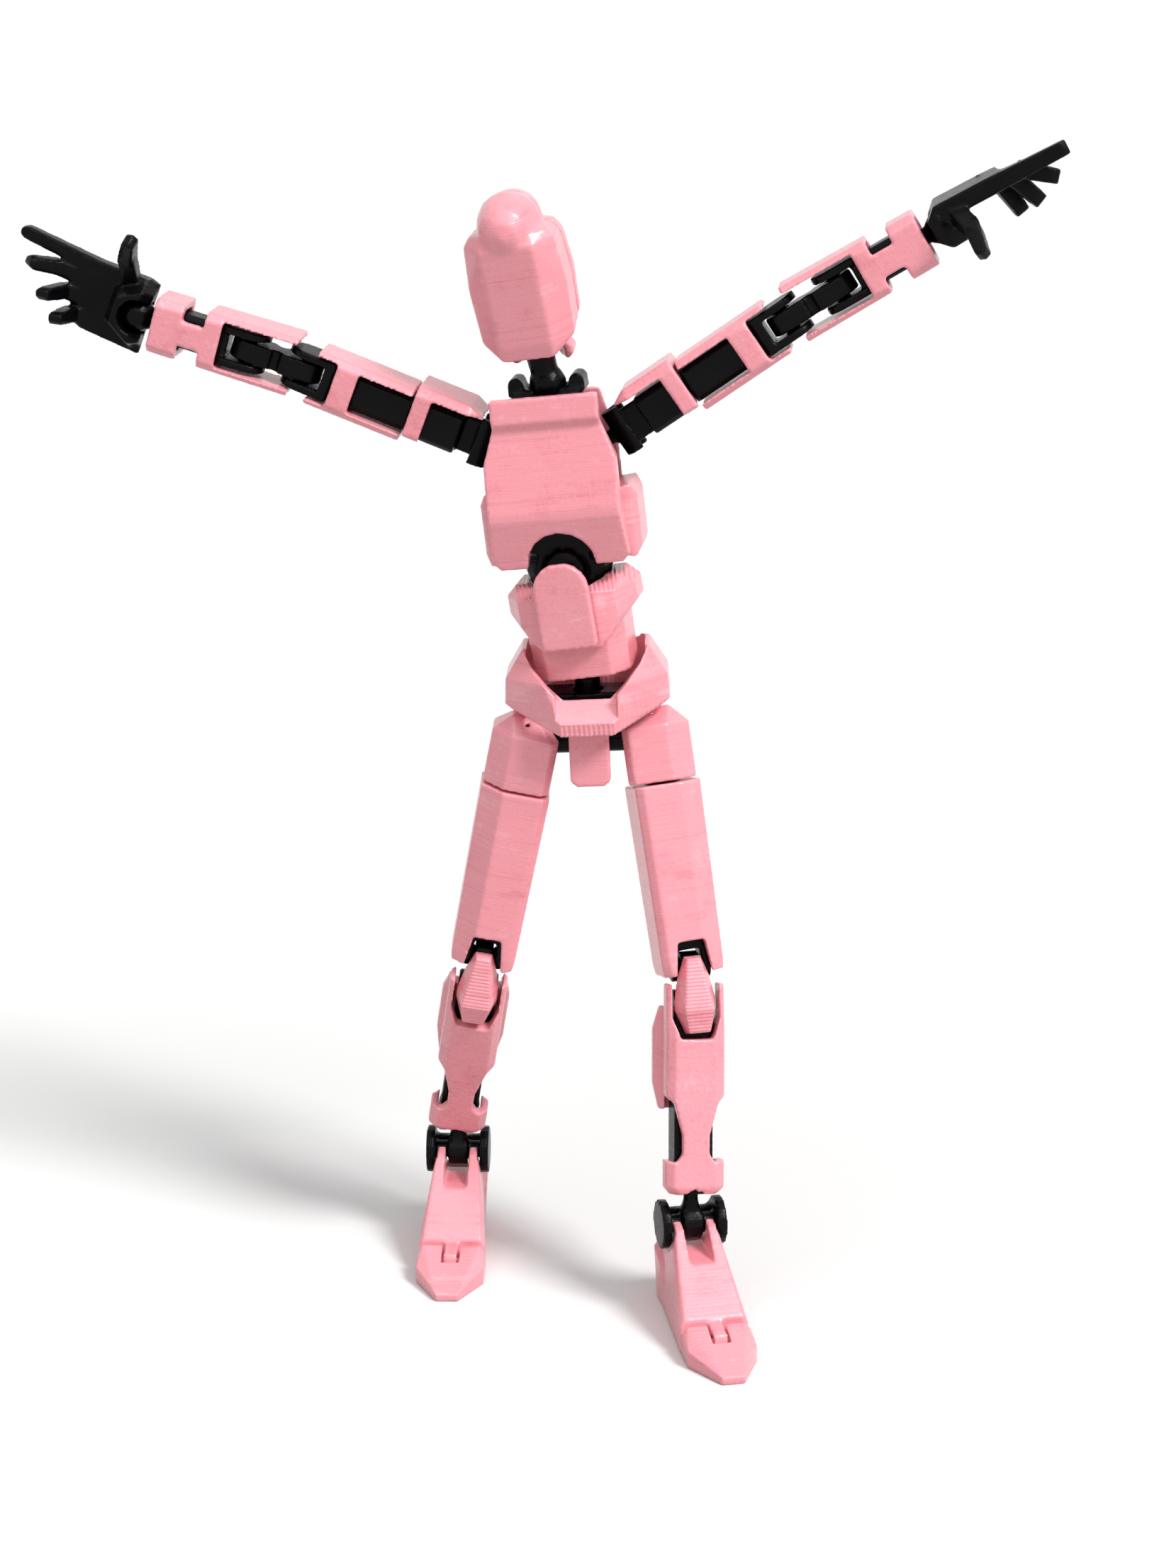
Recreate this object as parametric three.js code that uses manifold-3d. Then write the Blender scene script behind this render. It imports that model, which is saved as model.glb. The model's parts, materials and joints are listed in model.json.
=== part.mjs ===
// Jointed toy figure: printed pink armour shells on a black frame of pins, balls and links.
// Millimetres, +Z up. The figure faces -Y and its own left side is on +X.
// Each limb is built straight in its own frame and posed by the angles of the nested groups.

import * as THREE from 'three';
import { mergeVertices } from 'three/addons/utils/BufferGeometryUtils.js';
import { ConvexGeometry } from 'three/addons/geometries/ConvexGeometry.js';
import Module from 'manifold-3d';

const wasm = await Module();
wasm.setup();

// Fits: clearance, shell thickness, overlap of joined solids, shortening of pins in their cheeks
const GAP = 0.3;
const WALL = 1.2;
const SINK = 0.2;
const PIN_INSET = 0.1;

// Cutting tools pass a face by OVER and the whole part by THROUGH
const OVER = 1;
const THROUGH = 30;

// Facets of round forms
const ROUND = 16;
const FINE = 10;
const PAD_SIDES = 6;
const BALL_SIDES = 10;
const BALL_RINGS = 6;

// Pose, degrees
const POSE = {
  pelvisTurn: -1.6,
  waistTurn: -10,
  waistLean: -6.9,
  waistBend: 2.1,
  chestTurn: 3.2,
  chestLean: 3.2,
  chestBend: -0.2,
  neckLean: -7.5,
  neckNod: 5.5,
  headNod: 6.6,
  headLean: 5,
  headTurn: -3,
  right: {
    stemRaise: 27.4,
    armForward: 0.7,
    forearmRaise: -4.9,
    handTurn: 0,
    handRaise: 4.6,
    hipSwing: 2.7,
    hipSpread: 13.6,
    thighTurn: -2,
    kneeUpper: 9.1,
    kneeLower: 10.2,
    kneePlay: 1.4,
    footTurn: 2.3,
  },
  left: {
    stemRaise: 28.5,
    armForward: -3.7,
    forearmRaise: -4.1,
    handTurn: 90,
    handRaise: -2,
    hipSwing: -12.7,
    hipSpread: 6,
    thighTurn: 13.2,
    kneeUpper: 0.6,
    kneeLower: -0.5,
    kneePlay: 4.2,
    footTurn: 12.2,
  },
};

// Pelvis, from the hip axle's centre
const HIP = {
  axleRadius: 1.4,
  half: 8.2,
  knuckleRadius: 2.3,
  knuckleHalf: 2.0,
  pinRadius: 1.1,
  pinHalf: 3.2,
};
const PELVIS = {
  hubHalf: 2.3,
  hubDepth: 2.7,
  hubBottom: -3.4,
  seatRadius: 3.3,
  seatBottom: 3.4,
  seatTop: 6.8,
  beamHalf: 6.4,
  beamBottom: 5.3,
};
const SKIRT = {
  rimHalf: 7.85,
  rim: 12.6,
  rimFront: 2.6,
  rimBack: 6.4,
  shoulderHalf: 10.0,
  shoulder: 9.1,
  sideHalf: 10.2,
  side: 5.95,
  sideFront: 3.0,
  sideBack: 3.6,
  lowHalf: 8.9,
  low: 5.0,
  lowFront: 3.4,
  cornerHalf: 5.1,
  cornerFront: 7.6,
  cornerLowHalf: 5.0,
  cornerLowFront: 6.8,
  frontHalf: 3.2,
  front: 8.7,
  frontEdge: 4.5,
  frontFoot: 8.5,
  bottom: 2.8,
  back: 7.9,
  backHalf: 4.5,
  backFootHalf: 3.2,
  backFoot: 6.9,
  dipHalf: 2.9,
  dip: 6.9,
  dipFront: 6.2,
  dipEnd: 2.0,
  dipBend: 10.8,
  dipBendHalf: 6.65,
  rearDip: 9.8,
  rearDipHalf: 5.1,
  slopeHalf: 3.8,
  slopeReach: 10.7,
  slopeFoot: 2.4,
  rimWall: 0.6,
  openHalf: 7.0,
  openDepth: 5.4,
  openWide: 8.1,
  openWideHalf: 7.5,
  openWideFront: 5.9,
  openWideBack: 6.2,
  openRimFront: 5.7,
  openRimBack: 6.0,
  openChamfer: 2.2,
  openWideChamfer: 2.8,
};
const CROTCH = {
  half: 2.5,
  top: 2.3,
  bottom: -4.6,
  front: 5.0,
  thick: 1.5,
  corner: 0.8,
  underHalf: 2.3,
};

// Waist and abdomen, from the top of the pelvis seat
const WAIST = {
  height: 8.2,
  pinRadius: 1.6,
  pinDepth: 3.2,
  neckRadius: 1.2,
  ballRadius: 2.0,
  ballHeight: 2.4,
  cupRadius: 3.1,
  cupBottom: -0.6,
  cupTop: 4.2,
  cupLip: 0.3,
  columnRadius: 2.6,
  columnBottom: 3,
  armHalf: 4.4,
  armDepth: 1.6,
  armBottom: 1.7,
  armTop: 3.5,
  toChest: 12.3,
};
const BLOCK = {
  half: 6.0,
  flare: 0.2,
  front: 4.8,
  back: 4.6,
  chamfer: 2.0,
  innerChamfer: 1.5,
  bottom: -1.3,
  top: 5.4,
};
const WING = {
  innerHalf: 3.6,
  lowHalf: 5.0,
  lowFront: 5.5,
  faceHalf: 6.1,
  tipHalf: 8.1,
  topHalf: 6.5,
  bottom: 2.7,
  low: 4.1,
  faceLow: 6.0,
  tipLow: 7.2,
  tipHigh: 9.5,
  faceHigh: 9.5,
  innerHigh: 9.8,
  top: 11.0,
  front: 5.9,
  faceFront: 5.1,
  tipFront: 1.6,
  topFront: 2.5,
  tipBack: 2.4,
  footBack: 3.4,
  back: 4.8,
};
const TONGUE = {
  half: 3.45,
  bottom: 3.2,
  top: 14.0,
  thick: 1.1,
  corner: 0.4,
};
const WAIST_BALL = 4.4;
const WAIST_CUP = 5.6;

// Chest, from the centre of the waist ball
const CHEST = {
  spineHalf: 2.9,
  frameFront: 3.9,
  frameBack: 4.3,
  cupBottom: -1.8,
  frameTop: 17.8,
  lowHalf: 6.3,
  lowBottom: 2.4,
  shelf: 9.2,
};
const PLATE = {
  bottomHalf: 7.5,
  cornerHalf: 8.5,
  wideHalf: 8.1,
  neckHalf: 6.6,
  bottom: 0.9,
  corner: 1.9,
  crease: 7.6,
  creaseSoft: 0.5,
  wide: 14.0,
  step: 18.4,
  top: 21.8,
  archRadius: 4.2,
  archHeight: 1.1,
  bottomFront: 5.5,
  creaseFront: 7.2,
  stepFront: 5.1,
  collarFront: 5.8,
  topFront: 5.4,
  collarLip: 0.5,
  back: 4.25,
};
const BACKPLATE = {
  half: 7.2,
  neckHalf: 5.6,
  bottom: 2.0,
  corner: 1,
  cornerInset: 0.8,
  wide: 14.0,
  top: 20.6,
  front: 4.65,
  deep: 7.0,
  deepTop: 5.6,
  slopeSide: 1.8,
  slopeBottom: 2,
  slopeWide: 1,
  slopeTop: 1,
};
const FLANK = {
  reach: 2.5,
  shoulderReach: 1.8,
  bottom: 1.0,
  low: 2.4,
  high: 8.6,
  top: 9.9,
  rise: 0.3,
  fall: 0.4,
  faceInset: 1.4,
  bottomInset: 0.4,
  topInset: 0.8,
};

// Neck and head
const NECK = {
  height: 22.45,
  baseHalf: 4.7,
  footHalf: 3.8,
  footDepth: 2.5,
  blockBottom: 21.0,
  blockTop: 22.2,
  depth: 2.5,
  bevel: 0.5,
  lobeRadius: 0.95,
  lobeHeight: 22.75,
  lobeDepth: 1.9,
  ballRadius: 2.4,
  footRadius: 1.65,
  postRadius: 1.95,
  postLength: 6.55,
  headBall: 1.8,
};
const HEAD = {
  chin: -1.4,
  chinHalf: 3.1,
  chinFront: 5.5,
  nape: 4.0,
  jaw: 0.5,
  jawHigh: 1.7,
  jawHalf: 5.7,
  cheek: 7.2,
  half: 6.0,
  templeHalf: 5.55,
  front: 5.9,
  back: 5.5,
  faceHalf: 3.3,
  facet: 2.6,
  sideTop: 12.9,
  sideTopBack: 11.8,
  backTop: 11.5,
  bevelTop: 14.2,
  bevelTopBack: 13.3,
  bevelHalf: 4.6,
  brow: 4.9,
  browHalf: 2.9,
  crownEdge: 4.1,
  crownEdgeTop: 13.1,
  seam: 1.0,
  domeRadius: 3.6,
  domeForward: 2.9,
  domeHeight: 14.4,
  ridgeRadius: 3.9,
  ridgeForward: 0.6,
  ridgeHeight: 14.3,
  crownRadius: 3.6,
  crownBack: 1.7,
  crownHeight: 14.0,
  throatHalf: 3.0,
  throatDepth: 2.7,
  throatTopHalf: 2.3,
  throatTop: 2.6,
  throatChamfer: 1.0,
  lobeRadius: 1.2,
  lobeSide: 2.9,
  lobeDrop: 1.95,
};

// Shoulder, from the ball in the chest frame; +X runs out along the arm
const SHOULDER = {
  side: 4.7,
  back: 0.4,
  height: 13.9,
  ballRadius: 1.7,
  stemRadius: 0.95,
  bossRadius: 2.6,
  boreReach: 3.6,
  boreFlare: 1.9,
  toHinge: 5.1,
  barrelRadius: 2.1,
  barrelHalf: 3.0,
  boreRadius: 1.15,
  mouth: 75,
  mouthReach: 4,
};
const SHOULDER_BLOCK = {
  start: 2.5,
  end: 8.3,
  half: 2.55,
  depth: 2.7,
  chamfer: 0.7,
  neckHalf: 0.5,
  neckHeight: 2.25,
  pinHalf: 2.3,
};
const PAD = {
  start: 0.2,
  bevel: 0.4,
  full: 2.2,
  strap: 6.8,
  top: 4.3,
  topDrop: 0.8,
  under: 3.0,
  depth: 4.1,
  chamfer: 1.0,
  strapBottom: -2.6,
  strapCorner: 0.4,
  strapTaper: 0.2,
};
// Upper arm, from the shoulder hinge
const UPPER_ARM = {
  start: 8.9,
  boxEnd: 16.4,
  boxHalf: 2.25,
  boxDepth: 2.35,
  boxChamfer: 0.6,
  forkStart: 19.2,
  elbow: 23.0,
  neckHalf: 1.5,
  pegRadius: 1.2,
  pegLength: 3.6,
};
const SLEEVE = {
  start: 9.2,
  windowEnd: 16.2,
  bandEnd: 19.0,
  end: 21.7,
  half: 3.45,
  depth: 3.5,
  chamfer: 0.9,
  windowHalf: 2.5,
};
const ELBOW = {
  linkLength: 7.3,
  linkHalf: 1.25,
  linkRadius: 2.2,
  waistRadius: 0.7,
  barrelRadius: 2.5,
  forkHalf: 2.5,
  pinRadius: 0.8,
};
// Forearm, from the lower elbow pin
const FOREARM = {
  wrist: 14.2,
  boxHalf: 2.2,
  boxDepth: 1.9,
  boxChamfer: 0.5,
  boxStart: 2.5,
  boxEnd: 10.6,
  stemRadius: 1.05,
  ballRadius: 2.2,
};
const GUARD = {
  start: -6.1,
  windowEnd: 3.3,
  bodyEnd: 5.5,
  neckEnd: 8.3,
  end: 11.9,
  half: 3.7,
  wristHalf: 3.45,
  inner: 2.9,
  neckHalf: 1.5,
  depth: 3.5,
  chamfer: 0.9,
};
// Hand, from the wrist ball; each digit runs through its stations, with Y from the middle of the palm
const HAND = {
  wristEnd: 1.2,
  wristChamfer: 1.4,
  cupRadius: 3.3,
  cupFoot: 4.5,
  cupFootDepth: 0.5,
  cupFront: 2.6,
  back: 3.0,
  palmFace: 0.8,
  palmLowHalf: 5.0,
  palmLowKnuckle: 4.6,
  palmLowEnd: 3.8,
  palmHighHalf: 4.2,
  palmHighTip: 3.6,
  palmEnd: 8.5,
  palmHighEnd: 9.1,
  knuckle: 6.7,
  mouthHalf: 1.85,
  stemRoom: 1.5,
  finger: 0.92,
  fingerDepth: 1.05,
  fingertip: 0.8,
  tipDepth: 0.89,
  thumb: 1.05,
  thumbTip: 0.9,
  fingers: [
    [[7, 0, 3.3], [16.5, 0, 4.1]],
    [[7, 0, 1.2], [11.4, -0.3, 1.5], [14.2, -2.6, 1.4]],
    [[7, 0, -0.9], [9.8, -0.6, -0.9], [11.3, -4.4, -1.3]],
    [[6.4, 0, -3.1], [8.2, -0.9, -3.3], [8.9, -4.7, -3.5]],
  ],
  thumbStations: [[2.3, -0.9, 3.2], [3.3, -3.2, 6.6], [3.1, -5.6, 8.8]],
};

// Leg, from the hip; -Z runs down the leg
const THIGH = {
  top: 4.0,
  topInset: 2.2,
  bevel: 1.7,
  split: -5.4,
  ledge: 0.15,
  bottom: -29.5,
  foot: -28.1,
  knee: -28.65,
  inner: 4.1,
  outer: 4.3,
  front: 4.1,
  back: 4.0,
  faceOuter: 1.6,
  chamferFront: 1.8,
  chamfer: 0.9,
  backChamfer: 1.5,
  taper: 0.3,
  notchTop: -25.3,
  notchHalf: 1.75,
  notchFoot: 2.5,
  rearTop: -25.0,
  slotHalf: 1.9,
  slotBottom: -2.7,
  swivelRadius: 1.8,
  swivelTop: -3.6,
  forkRoot: 6.5,
};
const KNEE = {
  linkLength: 4.8,
  barrelRadius: 1.8,
  linkHalf: 1.15,
  forkHalf: 2.5,
  pinRadius: 0.8,
};
const CAP = {
  top: 1.4,
  topHalf: 1.1,
  tipHalf: 0.8,
  tip: 1.1,
  upper: -1.3,
  upperHalf: 2.1,
  crest: -5.3,
  crestTop: -4.2,
  crestHalf: 2.7,
  crestFaceHalf: 1.8,
  bottom: -8.3,
  bottomHalf: 1.5,
  bottomFaceHalf: 1.3,
  bottomFace: -8.1,
  back: 2.15,
  topFront: 3.5,
  crestFront: 5.2,
  bottomFront: 4.3,
};
// Shin, from the lower knee pin
const SHIN = {
  top: 2.6,
  topFront: 3.3,
  notch: -4.2,
  notchRise: 2.6,
  notchRoom: 0.5,
  wideLow: -10.4,
  waist: -12.2,
  waistHalf: 2.75,
  neckHigh: -16.2,
  neckLow: -18.6,
  flangeTop: -19.6,
  flangeRise: 0.4,
  flangeInnerHalf: 2.4,
  flangeBottom: -23.7,
  flangeFoot: -22.8,
  flangeFootHalf: 3.0,
  flangeFootFront: 2.8,
  half: 3.65,
  neckHalf: 1.7,
  flangeHalf: 3.75,
  front: 3.9,
  lowFront: 3.3,
  back: 0.6,
  chamfer: 1.0,
  frameHalf: 2.45,
  frameFront: 1.8,
  frameBack: 2.2,
  frameTop: -2.8,
  frameBottom: -23.1,
  forkRoot: -4.2,
  socket: -22.3,
  socketRadius: 2.7,
  socketTop: -20.5,
  mouthHalf: 1.35,
  mouthFoot: 2.2,
  mouthChamfer: 0.5,
};
const CALF = {
  top: -0.4,
  full: -3.3,
  taper: -10.2,
  bottom: -13.4,
  half: 4.35,
  endHalf: 3.7,
  innerHalf: 3.0,
  kneeRoom: -2.6,
  front: 1.0,
  back: 4.6,
  topBack: 3.0,
  bottomBack: 3.4,
  chamfer: 1.3,
  endChamfer: 0.65,
};
// Ankle and foot, from the ankle axle
const ANKLE = {
  ballRadius: 1.5,
  ballHeight: 5.5,
  stemRadius: 0.95,
  hubRadius: 2.1,
  hubHalf: 1.25,
  collarDepth: 1.6,
  collarBottom: 0.6,
  collarTopDepth: 0.9,
  collarTop: 2.9,
  collarChamfer: 0.45,
  axleRadius: 1.15,
  cheekOuter: 4.1,
  cheekRadius: 3.1,
  bridgeFront: 1.5,
  bridgeTop: 1.2,
  bridgeBottom: -1.6,
};
const FOOT = {
  floor: -11.87,
  prongHalf: 2.65,
  prongFront: 2.9,
  prongFace: 0.4,
  prongTop: 0.9,
  prongEdge: 1.0,
  armBack: 0.7,
  hingeFront: 12.6,
  hingeHalf: 4.35,
  hingeTopHalf: 3.75,
  hingeTop: -7.6,
  hingeEdge: -8.6,
  soleFront: 13.3,
  waistHalf: 3.0,
  waistBack: 4.7,
  instepBack: 3.4,
  heelTop: -4.6,
  heelTopFront: -6,
  heelBack: 5.8,
  heelCorner: 1.1,
  heelHalf: 3.2,
  heelFlare: 0.4,
  heelStart: 1.2,
  notchBottom: -2.9,
};
const TOE = {
  half: 4.35,
  topHalf: 3.65,
  top: -7.9,
  edge: -8.8,
  tip: 22.4,
  tipHalf: 1.4,
  tipTop: -10.9,
  wideFront: 16.8,
  wideTop: -9.7,
  pinReach: 1.7,
  pinRise: 2.2,
  pinRadius: 0.6,
  pinSeat: 0.5,
  tongueHalf: 0.85,
  tongueEnd: 1.35,
  tongueHigh: 0.9,
  tongueLow: 0.6,
};
const TOE_PIN = {
  forward: FOOT.soleFront + TOE.pinReach,
  height: FOOT.floor + TOE.pinRise,
};

const PINK = { color: 0xe696a5, roughness: 0.42, metalness: 0 };
const BLACK = { color: 0x0d0d0f, roughness: 0.28, metalness: 0 };

// Geometry to solid and back
function solid(geometry) {
  const bare = geometry.clone();
  bare.deleteAttribute('normal');
  bare.deleteAttribute('uv');
  const merged = mergeVertices(bare, 1e-5);
  return new wasm.Manifold(new wasm.Mesh({
    numProp: 3,
    vertProperties: Float32Array.from(merged.attributes.position.array),
    triVerts: Uint32Array.from(merged.index.array),
  }));
}

function surface(body, side) {
  const mesh = body.getMesh();
  const positions = new Float32Array(mesh.vertProperties.length);
  for (let i = 0; i < positions.length; i += 3) {
    positions[i] = mesh.vertProperties[i] * side;
    positions[i + 1] = mesh.vertProperties[i + 1];
    positions[i + 2] = mesh.vertProperties[i + 2];
  }
  const corners = Array.from(mesh.triVerts);
  if (side < 0) {
    for (let i = 0; i < corners.length; i += 3) {
      [corners[i], corners[i + 1]] = [corners[i + 1], corners[i]];
    }
  }
  const geometry = new THREE.BufferGeometry();
  geometry.setAttribute('position', new THREE.BufferAttribute(positions, 3));
  geometry.setIndex(corners);
  geometry.computeVertexNormals();
  return geometry;
}

function join(...bodies) {
  return bodies.reduce((sum, body) => sum.add(body));
}

function cut(body, ...tools) {
  return tools.reduce((rest, tool) => rest.subtract(tool), body);
}

// Building shapes
function box(x0, x1, y0, y1, z0, z1) {
  const shape = new THREE.BoxGeometry(x1 - x0, y1 - y0, z1 - z0);
  shape.translate((x0 + x1) / 2, (y0 + y1) / 2, (z0 + z1) / 2);
  return solid(shape);
}

function rod(axis, radius, from, to, centre = [0, 0, 0], sides = ROUND) {
  const shape = new THREE.CylinderGeometry(radius, radius, to - from, sides);
  shape.translate(0, (from + to) / 2, 0);
  if (axis === 'x') shape.rotateZ(-Math.PI / 2);
  if (axis === 'z') shape.rotateX(Math.PI / 2);
  shape.translate(...centre);
  return solid(shape);
}

function ball(radius, centre = [0, 0, 0]) {
  const shape = new THREE.SphereGeometry(radius, BALL_SIDES, BALL_RINGS);
  shape.translate(...centre);
  return solid(shape);
}

function strut(from, to, radiusFrom, radiusTo) {
  const start = new THREE.Vector3(...from);
  const run = new THREE.Vector3(...to).sub(start);
  const shape = new THREE.CylinderGeometry(radiusTo, radiusFrom, run.length(), FINE);
  shape.translate(0, run.length() / 2, 0);
  const turn = new THREE.Quaternion().setFromUnitVectors(
    new THREE.Vector3(0, 1, 0), run.clone().normalize());
  shape.applyQuaternion(turn);
  shape.translate(...from);
  return solid(shape);
}

function hull(points) {
  return solid(new ConvexGeometry(points.map((p) => new THREE.Vector3(...p))));
}

// Points of one side and their mirror images
function bothSides(points) {
  return points.flatMap(([x, y, z]) => [[x, y, z], [-x, y, z]]);
}

// A right half outline, from bottom to top, closed by its mirror image
function mirrored(outline) {
  return [...outline, ...outline.map(([x, z]) => [-x, z]).reverse()];
}

// An outline in (x, z) pulled along Y, in (y, z) along X, or in (x, y) along Z
function extrude(outline, along, from, to) {
  const shape = new THREE.Shape(outline.map((p) => new THREE.Vector2(...p)));
  const body = new THREE.ExtrudeGeometry(shape, { depth: to - from, bevelEnabled: false });
  body.translate(0, 0, from);
  if (along === 'y') body.applyMatrix4(new THREE.Matrix4().set(
    1, 0, 0, 0, 0, 0, -1, from + to, 0, 1, 0, 0, 0, 0, 0, 1));
  if (along === 'x') body.applyMatrix4(new THREE.Matrix4().set(
    0, 0, 1, 0, 1, 0, 0, 0, 0, 1, 0, 0, 0, 0, 0, 1));
  return solid(body);
}

// Corners of a rectangle with cut corners, at one height or one station
function octagon(half, front, back, chamfer, z) {
  return [
    [-half + chamfer, -front, z],
    [half - chamfer, -front, z],
    [half, -front + chamfer, z],
    [half, back - chamfer, z],
    [half - chamfer, back, z],
    [-half + chamfer, back, z],
    [-half, back - chamfer, z],
    [-half, -front + chamfer, z],
  ];
}

function tube(half, depth, chamfer, start, end) {
  const outline = octagon(depth, half, half, chamfer, 0);
  return extrude(outline.map(([y, z]) => [y, z]), 'x', start, end);
}

// A link or lug: two round ends joined, with their centres on the first axis
function stadium(from, to, radius) {
  const points = [];
  for (let i = 0; i <= FINE; i += 1) {
    const angle = Math.PI / 2 + (Math.PI * i) / FINE;
    points.push([from + radius * Math.cos(angle), radius * Math.sin(angle)]);
  }
  for (let i = 0; i <= FINE; i += 1) {
    const angle = -Math.PI / 2 + (Math.PI * i) / FINE;
    points.push([to + radius * Math.cos(angle), radius * Math.sin(angle)]);
  }
  return points;
}

function moved(body, matrix) {
  return solid(surface(body, 1).applyMatrix4(matrix));
}

function shifted(body, x, y, z) {
  return moved(body, new THREE.Matrix4().makeTranslation(x, y, z));
}

// Scene tree
function frameGroup(parent, position, ...turns) {
  const group = new THREE.Group();
  group.position.set(...position);
  for (const [axis, degrees] of turns) {
    const turn = new THREE.Quaternion().setFromAxisAngle(axis, THREE.MathUtils.degToRad(degrees));
    group.quaternion.multiply(turn);
  }
  parent.add(group);
  return group;
}

function place(parent, name, body, look, side = 1) {
  const mesh = new THREE.Mesh(surface(body, side), new THREE.MeshStandardMaterial(look));
  mesh.name = name;
  parent.add(mesh);
  return mesh;
}

const X = new THREE.Vector3(1, 0, 0);
const Y = new THREE.Vector3(0, 1, 0);
const Z = new THREE.Vector3(0, 0, 1);

// Pelvis
function hipAxle() {
  const reach = HIP.half + HIP.knuckleHalf - GAP;
  return rod('x', HIP.axleRadius, -reach, reach);
}

function pelvisFrame() {
  const p = PELVIS;
  const hub = box(-p.hubHalf, p.hubHalf, -p.hubDepth, p.hubDepth, p.hubBottom, p.seatBottom + SINK);
  const seat = rod('z', p.seatRadius, p.seatBottom, p.seatTop);
  const beam = box(-p.beamHalf, p.beamHalf, -p.hubDepth, p.hubDepth, p.beamBottom, p.seatTop);
  const pinHole = rod('z', WAIST.pinRadius + GAP, WAIST.height - WAIST.pinDepth - GAP, THROUGH);
  const axleHole = rod('x', HIP.axleRadius + GAP, -THROUGH, THROUGH);
  return cut(join(hub, seat, beam), pinHole, axleHole);
}

function pelvisSkirt() {
  const k = SKIRT;
  const outer = hull(bothSides([
    [k.rimHalf, -k.rimFront, k.rim],
    [k.rimHalf, k.sideBack, k.rim],
    [k.dipHalf, -k.dipFront, k.rim],
    [k.dipHalf, k.rimBack, k.rim],
    [k.shoulderHalf, -k.sideFront, k.shoulder],
    [k.shoulderHalf, k.sideBack, k.shoulder],
    [k.sideHalf, -k.sideFront, k.side],
    [k.sideHalf, k.sideBack, k.side],
    [k.lowHalf, -k.lowFront, k.low],
    [k.lowHalf, k.sideBack, k.low],
    [k.cornerHalf, -k.cornerFront, k.shoulder],
    [k.cornerLowHalf, -k.cornerLowFront, k.low],
    [k.frontHalf, -k.front, k.frontEdge],
    [k.frontHalf, -k.frontFoot, k.bottom],
    [k.backHalf, k.back, k.shoulder],
    [k.backHalf, k.back, k.side],
    [k.backFootHalf, k.backFoot, k.low],
  ]));
  const inside = hull([
    ...octagon(k.openHalf, k.openDepth, k.openDepth, k.openChamfer, k.bottom - OVER),
    ...octagon(k.openWideHalf, k.openWideFront, k.openWideBack, k.openWideChamfer, k.openWide),
    ...octagon(k.rimHalf - k.rimWall, k.openRimFront, k.openRimBack, k.openChamfer, k.rim + OVER),
  ]);
  const dip = extrude(mirrored([
    [k.dipHalf, k.dip],
    [k.dipBendHalf, k.dipBend],
    [k.rimHalf + GAP, k.rim + OVER],
  ]), 'y', -THROUGH, -k.dipEnd);
  const rearDip = extrude(mirrored([
    [k.dipHalf, k.rearDip],
    [k.rearDipHalf, k.rim + OVER],
  ]), 'y', k.sideBack, THROUGH);
  const frontSlope = extrude([
    [-k.slopeReach, k.slopeFoot],
    [-k.dipFront, k.dip],
    [-k.dipFront, k.rim + OVER],
    [-k.slopeReach, k.rim + OVER],
  ], 'x', -k.slopeHalf, k.slopeHalf);
  const beam = box(-PELVIS.beamHalf - GAP, PELVIS.beamHalf + GAP, -PELVIS.hubDepth - GAP,
    PELVIS.hubDepth + GAP, PELVIS.beamBottom - GAP, PELVIS.seatTop + GAP);
  return cut(outer, inside, dip, rearDip, frontSlope, beam);
}

function crotchPlate() {
  const c = CROTCH;
  const face = extrude(mirrored([
    [c.half - c.corner, c.bottom],
    [c.half, c.bottom + c.corner],
    [c.half, c.top],
  ]), 'y', -c.front, -c.front + c.thick);
  const under = box(-c.underHalf, c.underHalf, -c.front + c.thick - SINK, PELVIS.hubDepth,
    c.bottom, PELVIS.hubBottom - GAP);
  return join(face, under);
}

// Waist and abdomen
function waistJoint() {
  const pin = rod('z', WAIST.pinRadius, -WAIST.pinDepth, SINK);
  const neck = rod('z', WAIST.neckRadius, 0, WAIST.ballHeight);
  const knob = ball(WAIST.ballRadius, [0, 0, WAIST.ballHeight]);
  return join(pin, neck, knob);
}

function abdomenFrame() {
  const w = WAIST;
  const cup = rod('z', w.cupRadius, w.cupBottom, w.cupTop);
  const column = rod('z', w.columnRadius, w.columnBottom, w.toChest);
  const head = ball(WAIST_BALL, [0, 0, w.toChest]);
  const arms = box(-w.armHalf, w.armHalf, -w.armDepth, w.armDepth, w.armBottom, w.armTop);
  const hollow = ball(w.ballRadius + GAP);
  const mouth = rod('z', w.ballRadius - w.cupLip, -THROUGH, 0);
  return cut(join(cup, column, head, arms), hollow, mouth);
}

function waistBlock() {
  const b = BLOCK;
  const outer = hull([
    ...octagon(b.half, b.front, b.back, b.chamfer, b.bottom),
    ...octagon(b.half + b.flare, b.front, b.back, b.chamfer, b.top),
  ]);
  const room = (z) => octagon(b.half - WALL, b.front - WALL, b.back - WALL, b.innerChamfer, z);
  return cut(outer, hull([...room(b.bottom - OVER), ...room(b.top + OVER)]));
}

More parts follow.
